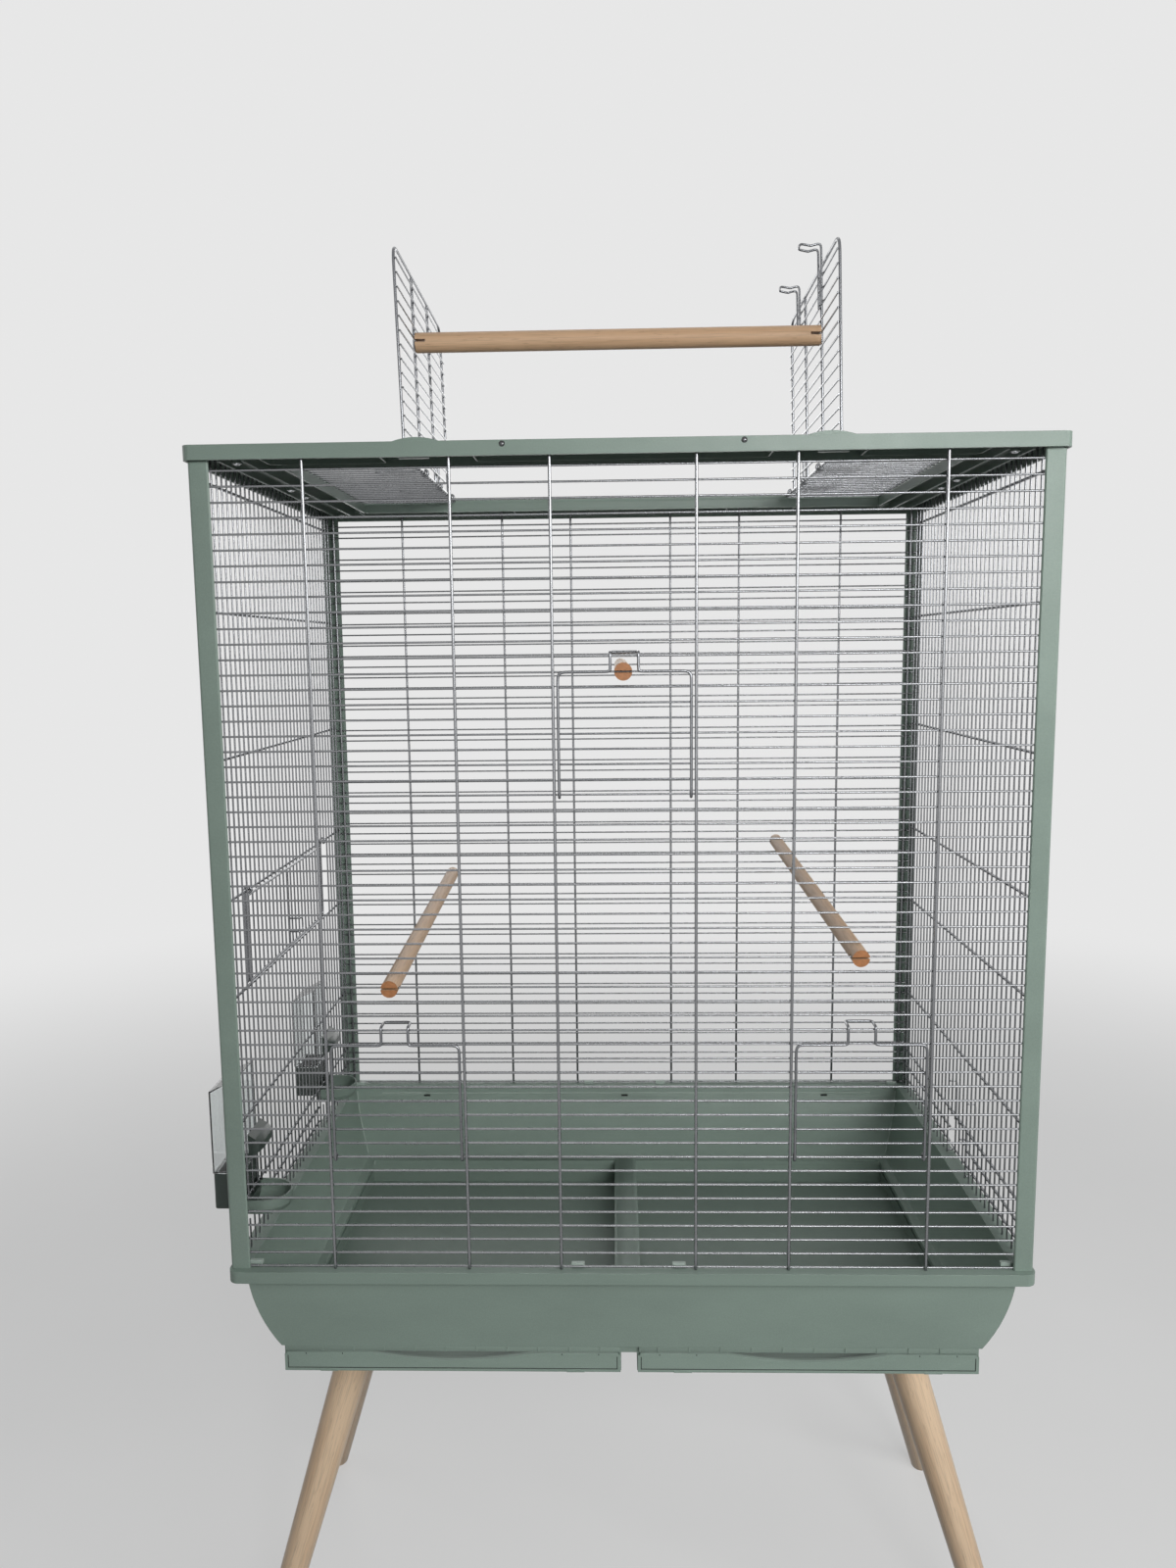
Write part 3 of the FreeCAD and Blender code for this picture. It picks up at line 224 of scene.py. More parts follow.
def plastic(name, colour, gloss=0.42, beyond=(), other=None):
    """Satin moulded plastic: fine texture, faint streaks where the melt flowed, and light scuffs.

    Past each place in beyond (axis, place, half the blur; a negative blur turns the side round) it
    takes the other colour, a darker tone that is painted shade."""
    s = Shader(name)
    flow_and_shade = s.ramp(s.noise(7, (1, 1, 2.5), 4), [(0.3, tone(colour, 0.94)), (0.7, tone(colour, 1.06))])
    # painted shade: past each place the colour turns to the darker other colour
    for axis, place, blur in beyond:
        split = s.node("SeparateXYZ")
        s.put(split.inputs[0], s.place)
        edge = s.node("MapRange", From_Min=place - blur, From_Max=place + blur)
        s.put(edge.inputs["Value"], split.outputs[axis])
        flow_and_shade = s.mix(edge.outputs["Result"], tone(other, 1.0), flow_and_shade)
    speckle = s.ramp(s.noise(900, detail=1), [(0.35, 0.93), (0.65, 1.0)])
    scuffs = s.ramp(s.noise(26, (1, 1, 9), 8, 0.75, 1.5), [(0.60, 0.0), (0.72, 1.0)])
    shade = s.mix(1.0, flow_and_shade, speckle, "MULTIPLY")
    shade = s.mix(s.span(scuffs, 0.0, 0.10), shade, tone(colour, 1.45))
    rough = s.span(s.noise(34, detail=5), gloss - 0.07, gloss + 0.09)
    grain = s.bump(s.noise(1500, detail=2), 0.00012, 0.5)
    wave = s.bump(s.noise(16, detail=1), 0.0008, 0.25, grain)
    return s.set(Base_Color=shade, Roughness=rough, Normal=wave, IOR=1.49, Specular_IOR_Level=0.32)


def zinc(name, colour):
    """Drawn steel wire, zinc plated: cloudy satin with faint draw marks and dull spots."""
    s = Shader(name)
    cloud = s.ramp(s.noise(60, detail=5), [(0.3, tone(colour, 0.90)), (0.7, tone(colour, 1.08))])
    spots = s.ramp(s.noise(240, detail=3), [(0.62, 0.0), (0.72, 1.0)])
    shade = s.mix(s.span(spots, 0.0, 0.16), cloud, tone(colour, 0.45))
    rough = s.span(s.noise(140, detail=4), 0.22, 0.32)
    marks = s.bump(s.noise(700, detail=2), 0.000008, 0.4)
    return s.set(Base_Color=shade, Metallic=1.0, Roughness=rough, Normal=marks)


def beech(name, light, dark, end, gloss):
    """Beech along the piece's own Z: soft year bands, fine pores, ray flecks, and darker sawn ends."""
    s = Shader(name)
    bands = s.noise(34, (1, 1, 0.045), 4, 0.6, 0.6)
    stops = [(0.30, dark), (0.48, tone(light, 0.96)), (0.62, light), (0.80, tone(dark, 1.12))]
    shade = s.ramp(bands, stops)
    pores = s.ramp(s.noise(900, (1, 1, 0.03), 2), [(0.36, 0.84), (0.52, 1.0)])
    shade = s.mix(1.0, shade, pores, "MULTIPLY")
    cells = s.node("TexVoronoi", Scale=330, Randomness=1.0)
    s.put(cells.inputs["Vector"], s.stretched((1, 1, 0.16)))
    flecks = s.ramp(cells.outputs["Distance"], [(0.10, 1.0), (0.22, 0.0)])
    shade = s.mix(s.span(flecks, 0.0, 0.42), shade, tone(dark, 0.70))
    rings = s.ramp(s.noise(260, (1, 1, 0.01), 3), [(0.3, tone(end, 0.80)), (0.7, tone(end, 1.15))])
    shade = s.mix(s.facing_end(), shade, rings)
    rough = s.span(pores, gloss + 0.12, gloss)
    grain = s.bump(s.noise(1100, (1, 1, 0.04), 2), 0.00009, 0.45)
    return s.set(Base_Color=shade, Roughness=rough, Normal=grain)


def clear(name, colour):
    """Clear styrene with a faint haze and hair scratches."""
    s = Shader(name)
    haze = s.span(s.noise(45, detail=6), 0.01, 0.05)
    scratch = s.bump(s.noise(420, (1, 1, 0.1), 3), 0.00001, 0.3)
    shade = s.ramp(s.noise(30), [(0.3, tone(colour, 1.08)), (0.7, tone(colour, 1.14))])
    return s.set(Base_Color=shade, Roughness=haze, Normal=scratch, IOR=1.5, Transmission_Weight=1.0)


GREEN = (0.252, 0.325, 0.280)
materials = {
    "green_base": plastic("base_plastic", GREEN),
    # drawers: painted shade behind the front face
    "green_drawer": plastic("drawer_plastic", tone(GREEN, 1.12), 0.42, DRAWER_PAINTED_SHADE, tone(GREEN, 0.78)),
    "green_posts": plastic("post_plastic", tone(GREEN, 0.98), 0.36),
    "green_frame": plastic("frame_plastic", tone(GREEN, 0.97), 0.34),
    "green_sockets": plastic("socket_plastic", tone(GREEN, 0.8)),
    # the clips' own tone, also lent to the tub's beads as a painted highlight
    "green_clips": plastic("clip_and_highlight_plastic", (0.42, 0.50, 0.45)),
    # feeders: near-black painted shade on the hood and outside the bars
    "green_feeder": plastic("feeder_plastic", tone(GREEN, 0.85), 0.3, FEEDER_PAINTED_SHADE, (0.05, 0.066, 0.058)),
    "zinc_wire": zinc("bar_zinc", (0.25, 0.255, 0.265)),
    "zinc_door_wire": zinc("door_zinc", (0.20, 0.205, 0.215)),
    "zinc_fixings": zinc("screw_zinc", (0.62, 0.63, 0.65)),
    "beech_legs": beech("leg_beech", (0.92, 0.69, 0.47, 1), (0.78, 0.54, 0.34, 1),
                        (0.52, 0.33, 0.19, 1), 0.34),
    "beech_perch": beech("perch_beech", (0.68, 0.45, 0.275, 1), (0.52, 0.32, 0.18, 1),
                         (0.42, 0.18, 0.07, 1), 0.5),
    "clear_hopper": clear("hopper_clear", (0.85, 0.87, 0.87)),
}
# painted shade: the pin heads are darkened steel that stands in for the shade of their holes
hole_shade_steel = zinc("pin_hole_shade", (0.10, 0.10, 0.105))
# painted shade: near-black green for the seams and ticks of the drawers, in place of the shade in their
# grooves
painted_seam_shade = plastic("painted_seam_shade", tone(GREEN, 0.14), 0.5)
# painted shadow: near-black plastic that fills the pin seats and the small slots, where there is only
# shade
shadow_plastic = plastic("painted_shadow_plastic", (0.018, 0.022, 0.020), 0.5)

node_slot = {}
for part in frame["record"]["subparts"]:
    node_slot[part["node"]] = part["material_slot"]
body_of = {}
for body, members in frame["record"]["behaviour"]["bodies"].items():
    for member in members:
        body_of[member] = body


# ---------------------------------------------------------------- mesh helpers
def in_order(things):
    """Each thing once, in the order met, so that every run gives the same mesh."""
    return list(dict.fromkeys(things))


def as_mesh(b, name):
    bmesh.ops.recalc_face_normals(b, faces=b.faces)
    mesh = bpy.data.meshes.new(name)
    b.to_mesh(mesh)
    b.free()
    return mesh


def placed(name, mesh, node, matrix=None, material=None):
    """An object that rides on a CAD node's body and takes its material, or another one."""
    for face in mesh.polygons:
        face.use_smooth = True
    mesh.set_sharp_from_angle(angle=SHARP)
    piece = bpy.data.objects.new(name, mesh)
    bpy.context.scene.collection.objects.link(piece)
    mesh.materials.clear()
    mesh.materials.append(material or materials[node_slot[node]])
    if matrix is not None:
        piece.matrix_world = matrix
    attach(piece, body_of[node])
    return piece


def finished(name, mesh, node, matrix=None):
    """An object that stands for a whole CAD node."""
    piece = placed(name, mesh, node, matrix)
    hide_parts(node)
    return piece


def frame_along(start, run):
    """The matrix of a piece whose own Z runs along a line."""
    across = run.orthogonal().normalized()
    beside = run.cross(across)
    turn = Matrix((across, beside, run)).transposed().to_4x4()
    return Matrix.Translation(start) @ turn


def add_turning(b, start, run, stations, sides=ROUND_SIDES):
    """A round solid along a line: stations are distances from the start and radii."""
    across = run.orthogonal().normalized()
    beside = run.cross(across)
    rings = []
    for distance, radius in stations:
        rings.append([])
        for k in range(sides):
            a = 2 * math.pi * k / sides
            reach = across * (radius * math.cos(a)) + beside * (radius * math.sin(a))
            rings[-1].append(b.verts.new(start + run * distance + reach))
    for near, far in zip(rings, rings[1:]):
        for k in range(sides):
            n = (k + 1) % sides
            b.faces.new((near[k], near[n], far[n], far[k]))
    b.faces.new(rings[0][::-1])
    b.faces.new(rings[-1])


def add_block(b, low, high, bevel=0.0003):
    """A block with softened edges."""
    made = bmesh.ops.create_cube(b, size=1.0)["verts"]
    low, high = Vector(low), Vector(high)
    for v in made:
        v.co = Vector(((low + high) / 2)[k] + v.co[k] * (high - low)[k] for k in range(3))
    edges = in_order(e for v in made for e in v.link_edges)
    bmesh.ops.bevel(b, geom=edges, offset=bevel, segments=2, profile=0.5, affect="EDGES")


def welded(node):
    """A copy of a CAD node's mesh with its triangles joined up."""
    b = bmesh.new()
    b.from_mesh(nodes[node].data)
    bmesh.ops.remove_doubles(b, verts=b.verts, dist=WELD)
    return b


def flattened(b):
    """Joins the triangles of each flat into one face."""
    bmesh.ops.dissolve_limit(b, angle_limit=FLAT, verts=b.verts, edges=b.edges)


def islands(b):
    """The separate solids in a mesh, as lists of corners."""
    met = set()
    found = []
    for first in b.verts:
        if first in met:
            continue
        met.add(first)
        group = [first]
        for vert in group:
            for other in (e.other_vert(vert) for e in vert.link_edges):
                if other not in met:
                    met.add(other)
                    group.append(other)
        found.append(group)
    return found


def flat_patch(face):
    """The corners, the area and the faces of the flat patch that a face is part of."""
    patch, met = [face], {face}
    for near in patch:
        for link in (l for e in near.edges for l in e.link_faces):
            if link not in met and link.normal.dot(face.normal) > SAME_FLAT:
                met.add(link)
                patch.append(link)
    return in_order(v for f in patch for v in f.verts), sum(f.calc_area() for f in patch), patch


def middle_line(group):
    """A wire's middle line and radius, from its end cap on, ring by ring; None if it isn't a wire."""
    caps, met = [], set()
    for face in in_order(f for v in group for f in v.link_faces):
        if face in met:
            continue
        corners, area, patch = flat_patch(face)
        met.update(patch)
        if len(group) % len(corners) == 0:
            caps.append((area, len(caps), corners))
    for _, _, corners in sorted(caps, key=lambda c: c[:2]):
        rings, seen = [corners], set(corners)
        while len(seen) < len(group):
            around = in_order(e.other_vert(v) for v in rings[-1] for e in v.link_edges)
            ahead = [v for v in around if v not in seen]
            if len(ahead) != len(corners):
                break
            rings.append(ahead)
            seen.update(ahead)
        if len(seen) == len(group) and len(rings) > 1:
            line = [sum((v.co for v in r), Vector()) / len(r) for r in rings]
            corner = sum((v.co - line[0]).length for v in corners) / len(corners)
            return line, corner * math.cos(math.pi / len(corners))
    return None


def eased(line):
    """The line with every corner turned into a short even bend."""
    out = [line[0]]
    for before, corner, after in zip(line, line[1:], line[2:]):
        reach_in = min(0.5 * (before - corner).length, BEND_REACH)
        reach_out = min(0.5 * (after - corner).length, BEND_REACH)
        a = corner + (before - corner).normalized() * reach_in
        c = corner + (after - corner).normalized() * reach_out
        for k in range(BEND_STEPS + 1):
            t = k / BEND_STEPS
            out.append(a * (1 - t) ** 2 + corner * (2 * t * (1 - t)) + c * t ** 2)
    out.append(line[-1])
    kept = [out[0]]
    for point in out[1:]:
        if (point - kept[-1]).length > SAME_POINT:
            kept.append(point)
    return kept


def add_tube(b, line, radius, sides=WIRE_SIDES):
    """A round wire along a line, with slightly rounded ends."""
    runs = [(q - p).normalized() for p, q in zip(line, line[1:])]
    tip = radius * TIP
    across = runs[0].orthogonal().normalized()
    rings = []
    for i, point in enumerate(line):
        if i == 0:
            run = runs[0]
        elif i == len(line) - 1:
            run = runs[-1]
        else:
            run = (runs[i - 1] + runs[i]).normalized()
        across = (across - run * across.dot(run)).normalized()
        beside = run.cross(across)
        places = [(point, radius)]
        if i == 0:
            places = [(point, radius - tip), (point + run * tip, radius)]
        elif i == len(line) - 1:
            places = [(point - run * tip, radius), (point, radius - tip)]
        for centre, size in places:
            rings.append([])
            for k in range(sides):
                a = 2 * math.pi * k / sides
                reach = across * (size * math.cos(a)) + beside * (size * math.sin(a))
                rings[-1].append(b.verts.new(centre + reach))
    for near, far in zip(rings, rings[1:]):
        for k in range(sides):
            n = (k + 1) % sides
            b.faces.new((near[k], near[n], far[n], far[k]))
    b.faces.new(rings[0][::-1])
    b.faces.new(rings[-1])


def wires(node):
    """Round wires for the flat-sided ones of a CAD node; whatever isn't a wire is carried over."""
    source, made = welded(node), bmesh.new()
    for group in islands(source):
        found = middle_line(group)
        if found:
            line, radius = found
            add_tube(made, eased(line), radius)
        else:
            twin = {v: made.verts.new(v.co) for v in group}
            for face in in_order(f for v in group for f in v.link_faces):
                made.faces.new([twin[v] for v in face.verts])
    source.free()
    return finished("round_" + node, as_mesh(made, "round_" + node), node)


def soften(piece, reach):
    """Rounds the sharp edges of a piece a little and keeps its flats flat."""
    bevel = piece.modifiers.new("edges", "BEVEL")
    bevel.width = reach
    bevel.segments = 2
    bevel.limit_method = "ANGLE"
    bevel.angle_limit = SHARP
    bevel.harden_normals = True


def moulded(node):
    """A copy of a CAD node with its flats joined up, smooth curves and softened edges."""
    b = welded(node)
    flattened(b)
    piece = finished("moulded_" + node, as_mesh(b, "moulded_" + node), node)
    soften(piece, EDGE)
    return piece


def dowel(node):
    """A perch, with its own Z along the wood."""
    low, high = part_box(node)
    size = high - low
    k = max(range(3), key=lambda i: size[i])
    corners = [v.co for v in nodes[node].data.vertices]
    near = [c for c in corners if c[k] < low[k] + DOWEL_END]
    far = [c for c in corners if c[k] > high[k] - DOWEL_END]
    start, end = sum(near, Vector()) / len(near), sum(far, Vector()) / len(far)
    matrix = frame_along(start, (end - start).normalized())
    b = welded(node)
    bmesh.ops.transform(b, matrix=matrix.inverted(), verts=b.verts)
    flattened(b)
    return finished("dowel_" + node, as_mesh(b, "dowel_" + node), node, matrix)


def leg(node):
    """A round tapered leg in place of the faceted one, with its own Z along the wood."""
    low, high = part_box(node.replace("leg_", "leg_socket_"))
    top = Vector(((low.x + high.x) / 2, (low.y + high.y) / 2, high.z))
    feet = [Vector(m["pos_m"]) for m in frame["record"]["mounts"]]
    foot = min(feet, key=lambda f: (f - sum(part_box(node), Vector()) / 2).length)
    run = (foot - top).normalized()
    count = {}
    for v in nodes[node].data.vertices:
        along = (v.co - top).dot(run)
        radius = (v.co - top - run * along).length
        if radius > BORE:
            spot = (round(along, 4), round(radius, 4))
            count[spot] = count.get(spot, 0) + 1
    stations = [(along, radius * INSIDE) for (along, radius), seen in sorted(count.items()) if seen > 3]
    along, radius = stations[-1]
    stations.append((along + FOOT_ROUND, radius - FOOT_ROUND))
    b = bmesh.new()
    add_turning(b, Vector(), Vector((0, 0, 1)), stations)
    matrix = frame_along(top, run)
    inverse = matrix.inverted()
    cut = bmesh.ops.bisect_plane(b, geom=list(b.verts) + list(b.edges) + list(b.faces),
                                 plane_co=inverse @ Vector((foot.x, foot.y, 0)),
                                 plane_no=inverse.to_3x3() @ Vector((0, 0, 1)), clear_inner=True)
    rim = [e for e in cut["geom_cut"] if isinstance(e, bmesh.types.BMEdge)]
    bmesh.ops.contextual_create(b, geom=rim)
    return finished("round_" + node, as_mesh(b, "round_" + node), node, matrix)


def guards():
    """The hoods over the feeders, kept close to the bars."""
    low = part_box("feeder_guards")[0]
    b = welded("feeder_guards")
    for v in b.verts:
        v.co.x = low.x + (v.co.x - low.x) * GUARD_REACH
    piece = finished("hoods_feeder_guards", as_mesh(b, "hoods_feeder_guards"), "feeder_guards")
    soften(piece, 2 * EDGE)


for name in sorted(nodes):
    slot = node_slot[name]
    if slot in ("zinc_wire", "zinc_door_wire"):
        wires(name)
    elif slot == "beech_perch":
        dowel(name)
    elif slot == "beech_legs":
        leg(name)
    elif name == "feeder_guards":
        guards()
    else:
        moulded(name)


# ---------------------------------------------------------------- small fasteners and mouldings
def add_dome(b, at, run, radius, height):
    """The round head of a pin or screw."""
    shape = ((0, 1), (0.45, 0.97), (0.8, 0.75), (1, 0.3))
    add_turning(b, at, run, [(height * h, radius * r) for h, r in shape], PIN_SIDES)


def frame_pins():
    """The four round-headed pins in the front and rear faces of the top frame, their heads and seats
    darkened as painted shade of the holes they sit in.
    """
    low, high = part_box("top_frame")
    z = low.z + SKIRT - PIN_DROP
    heads, seats = bmesh.new(), bmesh.new()
    for x in (-PIN_X, PIN_X):
        for y, way in ((low.y, -1), (high.y, 1)):
            at, run = Vector((x, y, z)), Vector((0, way, 0))
            add_dome(heads, at, run, *PIN_HEAD)
            add_turning(seats, at, run, PIN_SEAT, PIN_SIDES)
    # pin heads and seats: painted shade of the holes
    placed("frame_pins", as_mesh(heads, "frame_pins"), "top_frame", material=hole_shade_steel)
    placed("frame_pin_seats", as_mesh(seats, "frame_pin_seats"), "top_frame", material=shadow_plastic)


def frame_screws():
    """Pan-headed screws under the frame's bosses."""
    low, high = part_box("top_frame")
    b = bmesh.new()
    for s in (-1, 1):
        for y in BOSS_PLACES:
            at = Vector((s * (high.x - BOSS_INSET), y, low.z + BOSS_LIFT))
            add_dome(b, at, Vector((0, 0, -1)), *SCREW_HEAD)
    placed("frame_screws", as_mesh(b, "frame_screws"), "top_frame", material=materials["zinc_fixings"])


def add_pocket(b, x0, x1, y0, y1, z0, z1):
    """A low wall round a rounded rectangle, open above and below."""
    rings = []
    for inset, z in ((0, z0), (0, z1), (POCKET_WALL, z1), (POCKET_WALL, z0)):
        ring = []
        r = POCKET_CORNER - inset
        for start, cx, cy in ((0, x1, y1), (90, x0, y1), (180, x0, y0), (270, x1, y0)):
            mx = cx + (POCKET_CORNER if cx == x0 else -POCKET_CORNER)
            my = cy + (POCKET_CORNER if cy == y0 else -POCKET_CORNER)
            for k in range(POCKET_STEPS + 1):
                a = math.radians(start + 90 / POCKET_STEPS * k)
                ring.append(b.verts.new((mx + r * math.cos(a), my + r * math.sin(a), z)))
        rings.append(ring)
    for near, far in zip(rings, rings[1:] + rings[:1]):
        for k in range(len(near)):
            n = (k + 1) % len(near)
            b.faces.new((near[k], near[n], far[n], far[k]))


def frame_pockets():
    """The walls of the pockets under the front and rear borders, and the tongues of the thumb tabs."""
    low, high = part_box("top_frame")
    b = bmesh.new()
    z0, z1 = (low.z + h for h in POCKET_HEIGHTS)
    for x0, x1 in POCKETS:
        for s in (-1, 1):
            y0, y1 = sorted(s * (high.y - inset) for inset in POCKET_INSETS)
            add_pocket(b, x0, x1, y0, y1, z0, z1)
    for s in (-1, 1):
        x0, x1 = s * THUMB_X - TONGUE_HALF, s * THUMB_X + TONGUE_HALF
        front, back, foot = TONGUE
        add_block(b, (x0, low.y + front, low.z + foot), (x1, low.y + back, z1), EDGE)
        front, back, foot, top = TONGUE_LEDGE
        add_block(b, (x0, low.y + front, low.z + foot), (x1, low.y + back, low.z + top), EDGE)
    placed("frame_pockets", as_mesh(b, "frame_pockets"), "top_frame")


def plate_screws():
    """Hexagon-headed screws with washers under the corners of the leg plates."""
    for part in ("front_left", "front_right", "rear_left", "rear_right"):
        node = "leg_socket_" + part
        low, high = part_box(node)
        b = bmesh.new()
        for x in (low.x + SCREW_INSET, high.x - SCREW_INSET):
            for y in (low.y + SCREW_INSET, high.y - SCREW_INSET):
                at, down = Vector((x, y, high.z - PLATE)), Vector((0, 0, -1))
                add_turning(b, at, down, WASHER, WASHER_SIDES)
                add_turning(b, at, down, HEXAGON, 6)
        mesh = as_mesh(b, "plate_screws")
        placed("plate_screws_" + part, mesh, node, material=materials["zinc_fixings"])


def rim_slots():
    """The three small slots under the rim in the front wall of the tub, filled with near-black painted
    shadow.
    """
    low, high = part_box("base_tub")
    front, back, foot, top = RIM_SLOT
    y0, y1, z0, z1 = low.y + front, low.y + back, high.z - RIM - foot, high.z - RIM - top
    b = bmesh.new()
    for x in SLOT_PLACES:
        add_block(b, (x - SLOT_HALF, y0, z0), (x + SLOT_HALF, y1, z1))
    # painted shadow in the slots
    placed("rim_slots", as_mesh(b, "rim_slots"), "base_tub", material=shadow_plastic)


def corner_beads():
    """The small radius, shown as a bead in the lighter clip plastic as a painted highlight, where the
    walls of the tub meet inside.
    """
    source, b = welded("base_tub"), bmesh.new()
    flattened(source)
    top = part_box("base_tub")[1].z - CORNER_TOP
    drawer_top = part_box("drawer_left")[1].z
    for edge in source.edges:
        a, c = (v.co for v in edge.verts)
        length = (a - c).length
        if len(edge.link_faces) != 2 or edge.is_convex or edge.calc_face_angle() < CORNER_TURN:
            continue
        if min(a.y, c.y) < CORNER_BACK or min(abs(a.x), abs(c.x)) < CORNER_SIDE:
            continue
        if min(a.z, c.z) < drawer_top or max(a.z, c.z) > top:
            continue
        if length < CORNER_SHORT or abs(a.z - c.z) < 0.5 * length:
            continue
        inner = Vector((-math.copysign(BEAD, a.x), -BEAD, 0))
        add_tube(b, [a + inner, c + inner], BEAD, BEAD_SIDES)
    source.free()
    # painted highlight: the beads take the lighter clip plastic
    placed("corner_beads", as_mesh(b, "corner_beads"), "base_tub", material=materials["green_clips"])


def rear_rim():
    """The bead, in the lighter clip plastic as a painted highlight, and the small slots under the rim,
    filled with painted shadow, inside the rear wall of the tub.
    """
    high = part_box("base_tub")[1]
    source = welded("base_tub")
    tree = BVHTree.FromBMesh(source)

    def wall(x, z):
        """The place on the rear wall, seen from inside the tub."""
        return tree.ray_cast(Vector((x, CORNER_BACK, z)), Vector((0, 1, 0)))[0]

    z = high.z - RIM + BEAD_LIFT
    b = bmesh.new()
    reach = high.x - BEAD_END
    add_tube(b, [wall(-reach, z), wall(reach, z)], BEAD, BEAD_SIDES)
    # painted highlight: the bead takes the lighter clip plastic
    placed("rear_bead", as_mesh(b, "rear_bead"), "base_tub", material=materials["green_clips"])
    b = bmesh.new()
    beside, below = REAR_SLOT_PROBE
    out, into, foot, top = REAR_SLOT
    for x in SLOT_PLACES:
        y = wall(x + beside, z - below).y
        add_block(b, (x - SLOT_HALF, y - out, z - foot), (x + SLOT_HALF, y + into, z - top), SLOT_ROUND)
    # painted shadow in the slots
    placed("rear_slots", as_mesh(b, "rear_slots"), "base_tub", material=shadow_plastic)
    source.free()


def short_bars():
    """The feet of the side bars under each feeder, which stand on the rim."""
    source = welded("left_panel")
    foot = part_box("base_tub")[1].z
    bars = []
    for group in islands(source):
        low = Vector(min(v.co[k] for v in group) for k in range(3))
        high = Vector(max(v.co[k] for v in group) for k in range(3))
        if high.y - low.y < 2 * BAR and low.z < foot + BAR:
            bars.append((low + high) / 2)
    source.free()
    places = sorted(c.y for c in bars)
    pitch = min(q - p for p, q in zip(places, places[1:]))
    b = bmesh.new()
    for node in ("feeder_front", "feeder_rear"):
        low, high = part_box(node)
        middle = (low.y + high.y) / 2
        near, far = max(y for y in places if y < middle), min(y for y in places if y > middle)
        count = round((far - near) / pitch)
        for k in range(1, count):
            y = near + (far - near) * k / count
            add_tube(b, [Vector((bars[0].x, y, foot)), Vector((bars[0].x, y, low.z - BAR))], BAR / 2)
    placed("short_bars", as_mesh(b, "short_bars"), "left_panel")


def bay_lip():
    """The light lip of the tub behind the ribs over each drawer."""
    b = bmesh.new()
    for node in ("drawer_left", "drawer_right"):
        low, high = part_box(node)
        y = low.y + GRIP_DEPTH + LIP_INSET
        foot, head = (low.x + LIP_END, y, high.z + LIP), (high.x - LIP_END, y + LIP, high.z + DRAWER_SLOT)
        add_block(b, foot, head, SLOT_ROUND)
    placed("bay_lip", as_mesh(b, "bay_lip"), "base_tub")


def drawer_trim(node):
    """The bead under a drawer's finger recess, and the fine seams inside the edges of its front and the
    ticks along its top edge, drawn near-black as painted shade of their grooves.
    """
    low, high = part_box(node)
    openings = {o["name"]: o["box_m"] for o in frame["record"]["physics"]["openings"]}
    recess = openings[node + "_finger_recess"]
    x = (recess[0][0] + recess[1][0]) / 2
    radius = (RECESS_HALF ** 2 + RECESS_DEPTH ** 2) / (2 * RECESS_DEPTH)
    face = low.y + GRIP_DEPTH
    foot = high.z - RECESS_DEPTH - RECESS_BEAD_DROP
    line = []
    for k in range(2 * RECESS_STEPS + 1):
        a = math.asin(RECESS_HALF / radius) * (k / RECESS_STEPS - 1)
        line.append(Vector((x + radius * math.sin(a), face, foot + radius * (1 - math.cos(a)))))
    b = bmesh.new()
    add_tube(b, line, RECESS_BEAD, BEAD_SIDES)
    placed(node + "_bead", as_mesh(b, node + "_bead"), node)
    b = bmesh.new()
    x0, x1, z0, z1 = low.x + SEAM_INSET, high.x - SEAM_INSET, low.z + SEAM_INSET, high.z - SEAM_INSET
    y0, y1, half = face - SEAM_PROUD, face + SEAM_DEPTH, SEAM / 2
    add_block(b, (x0 - half, y0, z0 - half), (x1 + half, y1, z0 + half), SEAM_ROUND)
    for at in (x0, x1):
        add_block(b, (at - half, y0, z0 + half), (at + half, y1, z1), SEAM_ROUND)
    half, foot, head = TICK[0], high.z - TICK[1], high.z - TICK[2]
    for k in range(LIP_TICKS):
        at = x0 + (x1 - x0) * (k + 0.5) / LIP_TICKS
        if abs(at - x) > RECESS_HALF + TICK_CLEAR:
            add_block(b, (at - half, y0, foot), (at + half, y1, head), SEAM_ROUND)
    # seams and ticks: painted shade
    placed(node + "_seams", as_mesh(b, node + "_seams"), node, material=painted_seam_shade)


frame_pins()
frame_screws()
frame_pockets()
plate_screws()
rim_slots()
bay_lip()
for name in ("drawer_left", "drawer_right"):
    drawer_trim(name)
corner_beads()
rear_rim()
short_bars()


# ---------------------------------------------------------------- floor, light and camera
BACKDROP = (0.80, 0.80, 0.80, 1)
WORLD_LIGHT = (0.08, 0.084, 0.088, 1)
FLOOR_GLOW = 0.50               # share of the plain tone in the floor near the object
FLOOR_BOUNCE = (0.10, 0.10, 0.10, 1)    # the floor's colour for the light that it throws back


def plainly_seen(tree):
    """1 for camera, glossy and transmission rays, and 0 for the light that falls on the object."""
    path = tree.nodes.new("ShaderNodeLightPath")
    share = path.outputs["Is Camera Ray"]
    for kind in ("Is Glossy Ray", "Is Transmission Ray"):
        most = tree.nodes.new("ShaderNodeMath")
        most.operation = "MAXIMUM"
        tree.links.new(share, most.inputs[0])
        tree.links.new(path.outputs[kind], most.inputs[1])
        share = most.outputs[0]
    return share


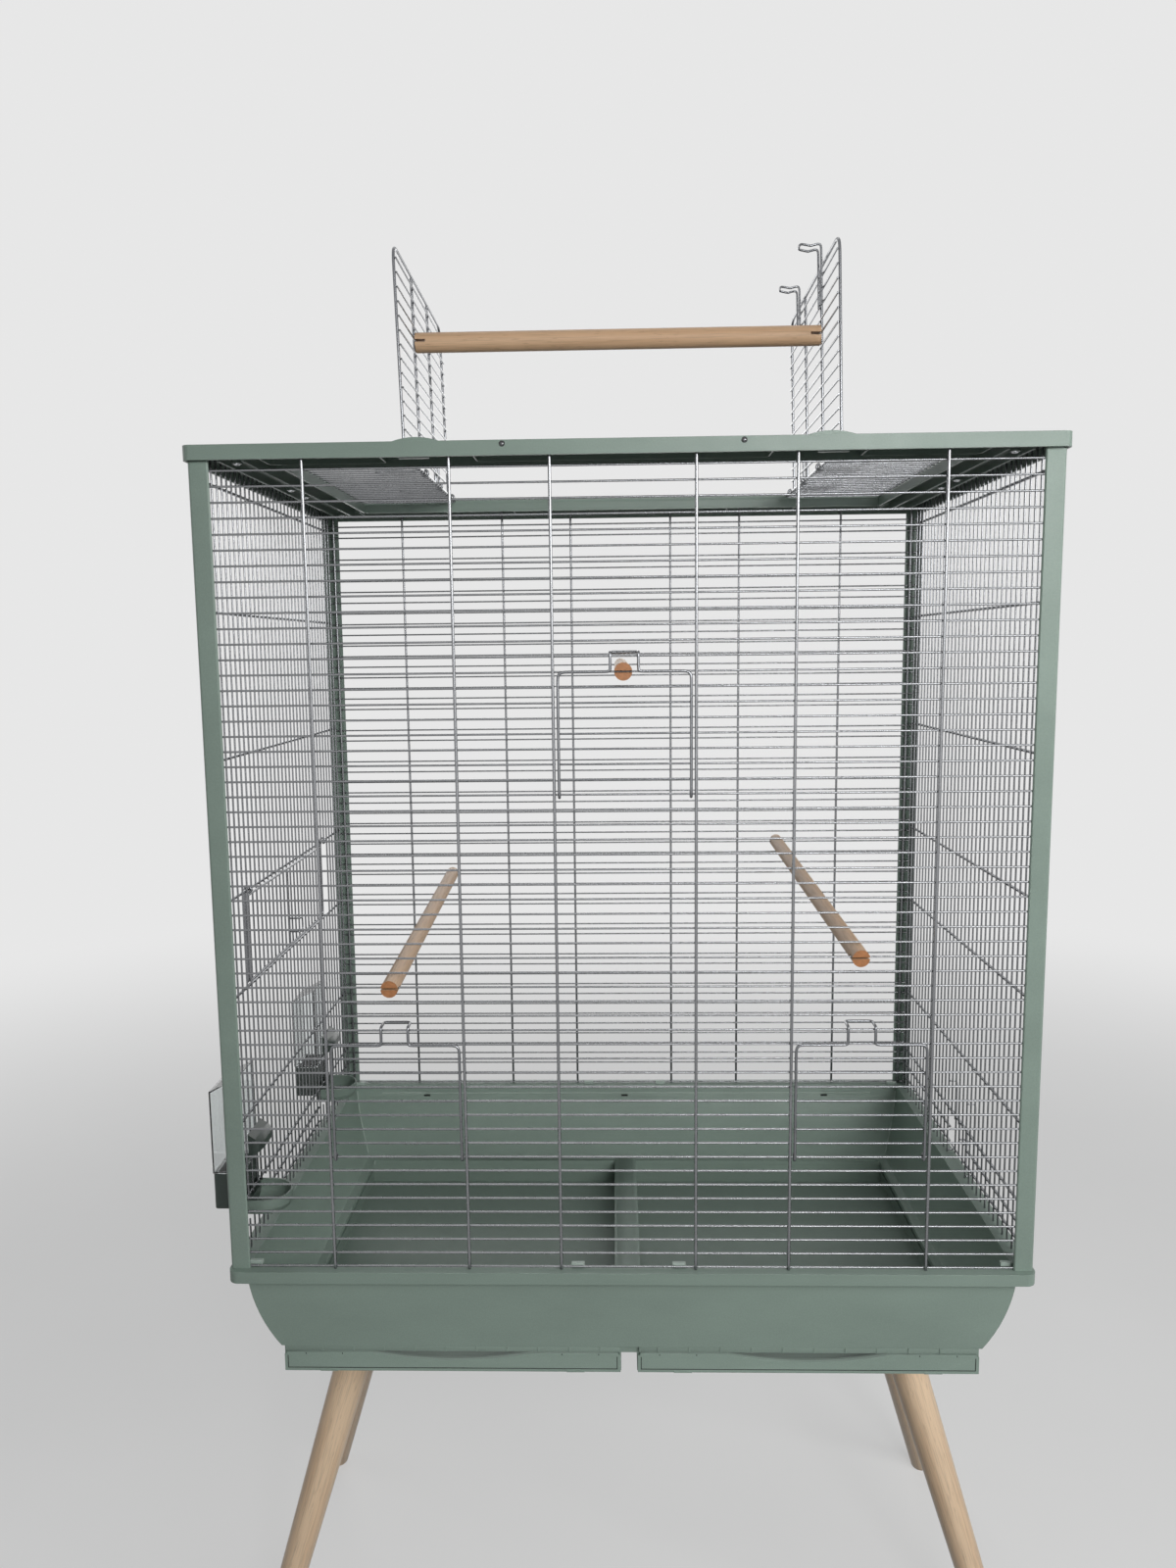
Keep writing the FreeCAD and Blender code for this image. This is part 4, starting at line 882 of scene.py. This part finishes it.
def floor_material():
    """Pale floor that keeps the shadow near the object and fades to the plain background."""
    s = Shader("pale_floor")
    s.tree.nodes.remove(s.surface)
    out = s.tree.nodes["Material Output"]
    seen = plainly_seen(s.tree)
    far = s.node("VectorMath", operation="LENGTH")
    s.put(far.inputs[0], s.place)
    fade = s.node("MapRange", interpolation_type="SMOOTHSTEP", From_Min=1.2, From_Max=3.5)
    s.put(fade.inputs["Value"], far.outputs["Value"])
    lifted = s.span(fade.outputs["Result"], FLOOR_GLOW, 1.0)
    share = s.node("Math", operation="MULTIPLY")
    s.put(share.inputs[0], lifted)
    s.put(share.inputs[1], seen)
    pale = s.node("BsdfDiffuse")
    mottle = s.ramp(s.noise(3, detail=4), [(0.3, (0.80, 0.80, 0.79, 1)), (0.7, (0.84, 0.84, 0.83, 1))])
    s.put(pale.inputs["Color"], s.mix(seen, FLOOR_BOUNCE, mottle))
    glow = s.node("Emission", Color=BACKDROP, Strength=1.0)
    both = s.node("MixShader")
    s.put(both.inputs[0], share.outputs[0])
    s.put(both.inputs[1], pale.outputs[0])
    s.put(both.inputs[2], glow.outputs[0])
    s.put(out.inputs["Surface"], both.outputs[0])
    return s.material


bpy.ops.mesh.primitive_circle_add(vertices=96, radius=30, fill_type="NGON")
floor = bpy.context.active_object
floor.name = "floor"
floor.data.materials.append(floor_material())

world = bpy.data.worlds.new("studio")
bpy.context.scene.world = world
world.use_nodes = True
tree = world.node_tree
background = tree.nodes["Background"]
tint = tree.nodes.new("ShaderNodeMix")
tint.data_type = "RGBA"
tint.inputs[6].default_value = WORLD_LIGHT
tint.inputs[7].default_value = BACKDROP
tree.links.new(plainly_seen(tree), tint.inputs[0])
tree.links.new(tint.outputs[2], background.inputs["Color"])


def lamp(name, place, target, size, power):
    """A soft rectangular lamp, in metres and watts, that faces its target."""
    light = bpy.data.lights.new(name, "AREA")
    light.shape = "RECTANGLE"
    light.size, light.size_y = size
    light.energy = power
    holder = bpy.data.objects.new(name, light)
    bpy.context.scene.collection.objects.link(holder)
    holder.location = place
    holder.rotation_euler = (Vector(target) - Vector(place)).to_track_quat("-Z", "Y").to_euler()


lamp("key", (1.25, -1.50, 1.50), (0.1, 0, 0.90), (1.9, 0.6), 24)
lamp("front", (0.1, -4.2, 0.8), (0, 0, 0.6), (2.6, 1.6), 13)
lamp("sheen", (0.55, -2.5, 1.75), (0.1, 0, 0.55), (0.8, 0.4), 15)
lamp("behind", (-0.3, 3.4, 1.6), (0, 0, 0.8), (2.4, 1.6), 26)
lamp("left", (-3.2, 0.6, 1.5), (0, 0, 0.8), (1.6, 1.6), 7)
lamp("top", (0, 0.9, 3.3), (0, 0, 0.9), (1.6, 1.2), 4)

camera = bpy.data.objects.new("camera", bpy.data.cameras.new("camera"))
bpy.context.scene.collection.objects.link(camera)
bpy.context.scene.camera = camera
camera.data.sensor_width = 36
camera.data.lens = 24.83
yaw, pitch, roll = -0.02605, 0.12360, -0.01140      # radians, as fitted to the object's straight lines
ahead = Vector((math.sin(yaw) * math.cos(pitch), math.cos(yaw) * math.cos(pitch), -math.sin(pitch)))
right = Vector((math.cos(yaw), -math.sin(yaw), 0))
up = right.cross(ahead)
turned_right = right * math.cos(roll) + up * math.sin(roll)
turned_up = up * math.cos(roll) - right * math.sin(roll)
camera.matrix_world = Matrix.Translation((-0.0085, -1.2332, 1.110)) @ Matrix(
    (turned_right, turned_up, -ahead)).transposed().to_4x4()
bpy.context.scene.view_settings.view_transform = "Standard"
